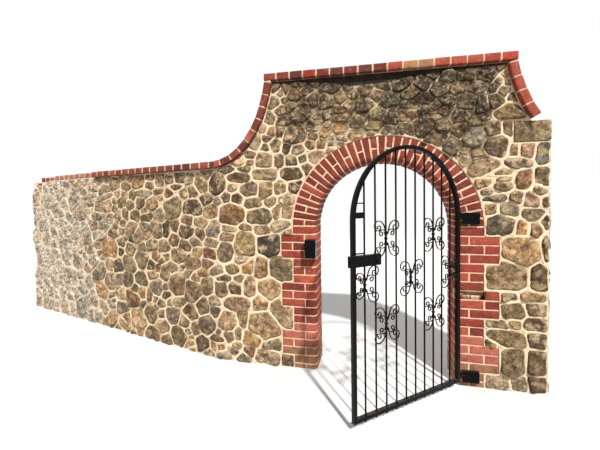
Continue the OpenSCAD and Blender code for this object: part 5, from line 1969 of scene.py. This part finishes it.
@dataclass(frozen=True)
class Studio:
    """A pale floor, soft lamps, a white background and the camera at the photograph's place."""

    camera_at: tuple[float, float, float] = (-0.7605, -3.0248, 1.575)
    yaw: float = 0.233
    pitch: float = -0.033
    roll: float = -0.015
    lens: float = 19.29
    shift: tuple[float, float] = (0.005, -0.0268)
    floor_half: float = 60.0
    floor_near: float = 6.0
    floor_far: float = 14.0
    floor_lit: Colour = (0.42, 0.4, 0.37)
    floor_seen: Colour = (0.8, 0.8, 0.79)
    sky: Colour = (0.93, 0.96, 1.0)
    sky_strength: float = 0.38

    @staticmethod
    def seen(g: Graph) -> Socket:
        """Tells rays from the camera and off shiny surfaces from the others."""
        rays = g.add("ShaderNodeLightPath").outputs
        return g.math("MAXIMUM", rays["Is Camera Ray"], rays["Is Glossy Ray"])

    @staticmethod
    def link(item: bpy.types.Object) -> bpy.types.Object:
        """Puts an object in the scene."""
        bpy.context.scene.collection.objects.link(item)
        return item

    def floor(self) -> None:
        """Makes the floor, pale under the object and white far from it."""
        material = bpy.data.materials.new("studio_floor")
        material.use_nodes = True
        material.node_tree.nodes.clear()
        g = Graph(material.node_tree)
        seen = self.seen(g)
        pale = g.add("ShaderNodeBsdfDiffuse", {"Color": g.mix(seen, self.floor_lit, self.floor_seen)})
        white = g.add("ShaderNodeEmission", {"Color": WHITE})
        away = g.add("ShaderNodeVectorMath", {0: g.place()}, operation="LENGTH").outputs["Value"]
        far = g.times(g.span(away, self.floor_near, self.floor_far), seen)
        blend = g.add("ShaderNodeMixShader", {0: far, 1: pale.outputs[0], 2: white.outputs[0]})
        g.add("ShaderNodeOutputMaterial", {"Surface": blend.outputs[0]})
        mesh = bpy.data.meshes.new("floor")
        half = self.floor_half
        corners = [(-half, -half, 0), (half, -half, 0), (half, half, 0), (-half, half, 0)]
        mesh.from_pydata(corners, [], [(0, 1, 2, 3)])
        mesh.materials.append(material)
        piece = self.link(bpy.data.objects.new("floor", mesh))

    def world(self) -> None:
        """Lights the scene evenly and shows white to the camera."""
        world = bpy.data.worlds.new("studio")
        bpy.context.scene.world = world
        world.use_nodes = True
        world.node_tree.nodes.clear()
        g = Graph(world.node_tree)
        light = g.add("ShaderNodeBackground", {"Color": self.sky, "Strength": self.sky_strength})
        white = g.add("ShaderNodeBackground", {"Color": WHITE, "Strength": 1.0})
        blend = g.add("ShaderNodeMixShader", {0: self.seen(g), 1: light.outputs[0], 2: white.outputs[0]})
        g.add("ShaderNodeOutputWorld", {"Surface": blend.outputs[0]})

    def lamp(self, name: str, toward: Colour, strength: float, spread: float, colour: Colour) -> None:
        """Adds a soft far lamp that shines along a direction."""
        data = bpy.data.lights.new(name, "SUN")
        data.energy = strength
        data.angle = math.radians(spread)
        data.color = colour
        lamp = self.link(bpy.data.objects.new(name, data))
        lamp.rotation_mode = "QUATERNION"
        from_axis = np.array(toward) / np.linalg.norm(toward)
        lamp.rotation_quaternion = Vector(from_axis).to_track_quat("-Z", "Y")

    def camera(self) -> None:
        """Sets the camera where the photograph was taken."""
        level = math.cos(self.pitch)
        forward = np.array([-math.sin(self.yaw) * level, math.cos(self.yaw) * level, math.sin(self.pitch)])
        side = np.array([math.cos(self.yaw), math.sin(self.yaw), 0.0])
        up = np.cross(side, forward)
        right = math.cos(self.roll) * side + math.sin(self.roll) * up
        upward = -math.sin(self.roll) * side + math.cos(self.roll) * up
        data = bpy.data.cameras.new("camera")
        data.sensor_width = 36.0
        data.lens = self.lens
        data.shift_x, data.shift_y = self.shift
        data.clip_end = 200.0
        camera = bpy.data.objects.new("camera", data)
        rows = np.stack([right, upward, -forward], 1)
        camera.matrix_world = Matrix([[*rows[i], self.camera_at[i]] for i in range(3)] + [[0, 0, 0, 1]])
        bpy.context.scene.camera = self.link(camera)

    def build(self) -> None:
        """Sets up the whole studio."""
        self.floor()
        self.world()
        self.lamp("key", (-0.42, 0.62, -0.82), 4.4, 2.5, (1.0, 0.98, 0.95))
        self.lamp("back_fill", (0.3, -0.8, -0.45), 1.2, 20.0, WHITE)
        self.camera()
        bpy.context.scene.view_settings.view_transform = "Standard"
        LOG.info("studio set")


# ---------------------------------------------------------------- the whole


@dataclass(frozen=True)
class Rubble:
    """The rubble of the wall: the stones of each face, and the cores behind them that show as pointing."""

    mitre: float = 0.0431
    nodes: tuple[str, ...] = ("low_wall_far", "low_wall_middle", "low_wall_near", "sweep_wall_left",
                              "pier_wall_left", "wall_over_arch", "pier_wall_right")

    @staticmethod
    def front(u: Array, v: Array, gap: float) -> Array:
        """The whole front, round the turn, but for the recess under the high coping, whose pointing is painted
        near-black as shade.
        """
        hollow = (v > high_top(u) - hollow_depth(u)) & (np.abs(u) < 1.0)
        return np.where(u > -WALL.bend, high_region(u, v, gap) & ~hollow, low_region(u + WALL.bend, v, gap))

    def high_back(self, u: Array, v: Array, gap: float) -> Array:
        """The doorway wall's back ends at the turn."""
        return high_region(u, v, gap) & (u > -WALL.bend + self.mitre)

    def low_back(self, u: Array, v: Array, gap: float) -> Array:
        """The low wall's back is whole, and ends at the turn."""
        return (u > far_edge(v) + gap) & (u < -self.mitre) & (v > gap * 0.3) & (v < WALL.low - gap)

    @staticmethod
    def end(u: Array, v: Array, gap: float, top: float) -> Array:
        """An end of the wall, through its thickness and up to its top."""
        return (u > gap) & (u < WALL.thick - gap) & (v > gap * 0.3) & (v < top - gap)

    def right_end(self, u: Array, v: Array, gap: float) -> Array:
        """The right end of the wall, under its quoin."""
        return self.end(u, v, gap, WALL.quoin_low)

    def left_end(self, u: Array, v: Array, gap: float) -> Array:
        """The broken left end of the wall, under its coping."""
        return self.end(u, v, gap, WALL.low)

    def build(self, finishes: Finishes, shown: dict[str, bpy.types.Object]) -> None:
        """Gives the cores their pointing and builds the stones of every face."""
        for name in self.nodes:
            paint(shown[name], finishes.get(POINTING))
        LOG.info("cores: %d nodes pointed", len(self.nodes))
        keys = [*HIGH_KEYS, *(Stone(k.u - WALL.bend, k.v, k.a, k.b, k.tone, k.turn) for k in LOW_KEYS)]
        spans = ((-WALL.bend - WALL.low_run, 1.25, 0.0, WALL.high), (-1.55, 1.25, 0.0, WALL.high),
                 (-3.65, 0.0, 0.0, 1.875), (0.0, WALL.thick, 0.0, WALL.quoin_low),
                 (0.0, WALL.thick, 0.0, WALL.low))
        faces = (
            RubbleFace("stones_front", FRONT, self.front, spans[0], 11, keys, left_name="stones_low_front",
                       limed_from=-WALL.bend - 1.6),
            RubbleFace("stones_high_back", HIGH_BACK, self.high_back, spans[1], 31, rays=24),
            RubbleFace("stones_low_back", LOW_BACK, self.low_back, spans[2], 43, rays=24, limed_from=-2.4),
            RubbleFace("stones_right_end", RIGHT_END, self.right_end, spans[3], 57, proud=0.008),
            RubbleFace("stones_left_end", BrokenEnd(LOW_FRONT), self.left_end, spans[4], 71, proud=0.006,
                       rays=24, limed_from=1.5),
        )
        for face in faces:
            face.build(finishes)


def main() -> None:
    """Builds the object's looks in order, then the studio."""
    logging.basicConfig(level=logging.INFO, format="%(message)s")
    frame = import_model()
    shown = frame["nodes"]
    finishes = Finishes(Effects())
    Rubble().build(finishes, shown)
    Jamb(-1, "jamb_left").build(finishes)
    Jamb(1, "jamb_right", broken=10).build(finishes)
    Ring().build(finishes)
    Copings().build(finishes)
    QuoinStone().build(finishes)
    Ironwork().build(finishes, shown)
    Studio().build()
    bpy.context.view_layer.update()


if __name__ == "__main__":
    main()
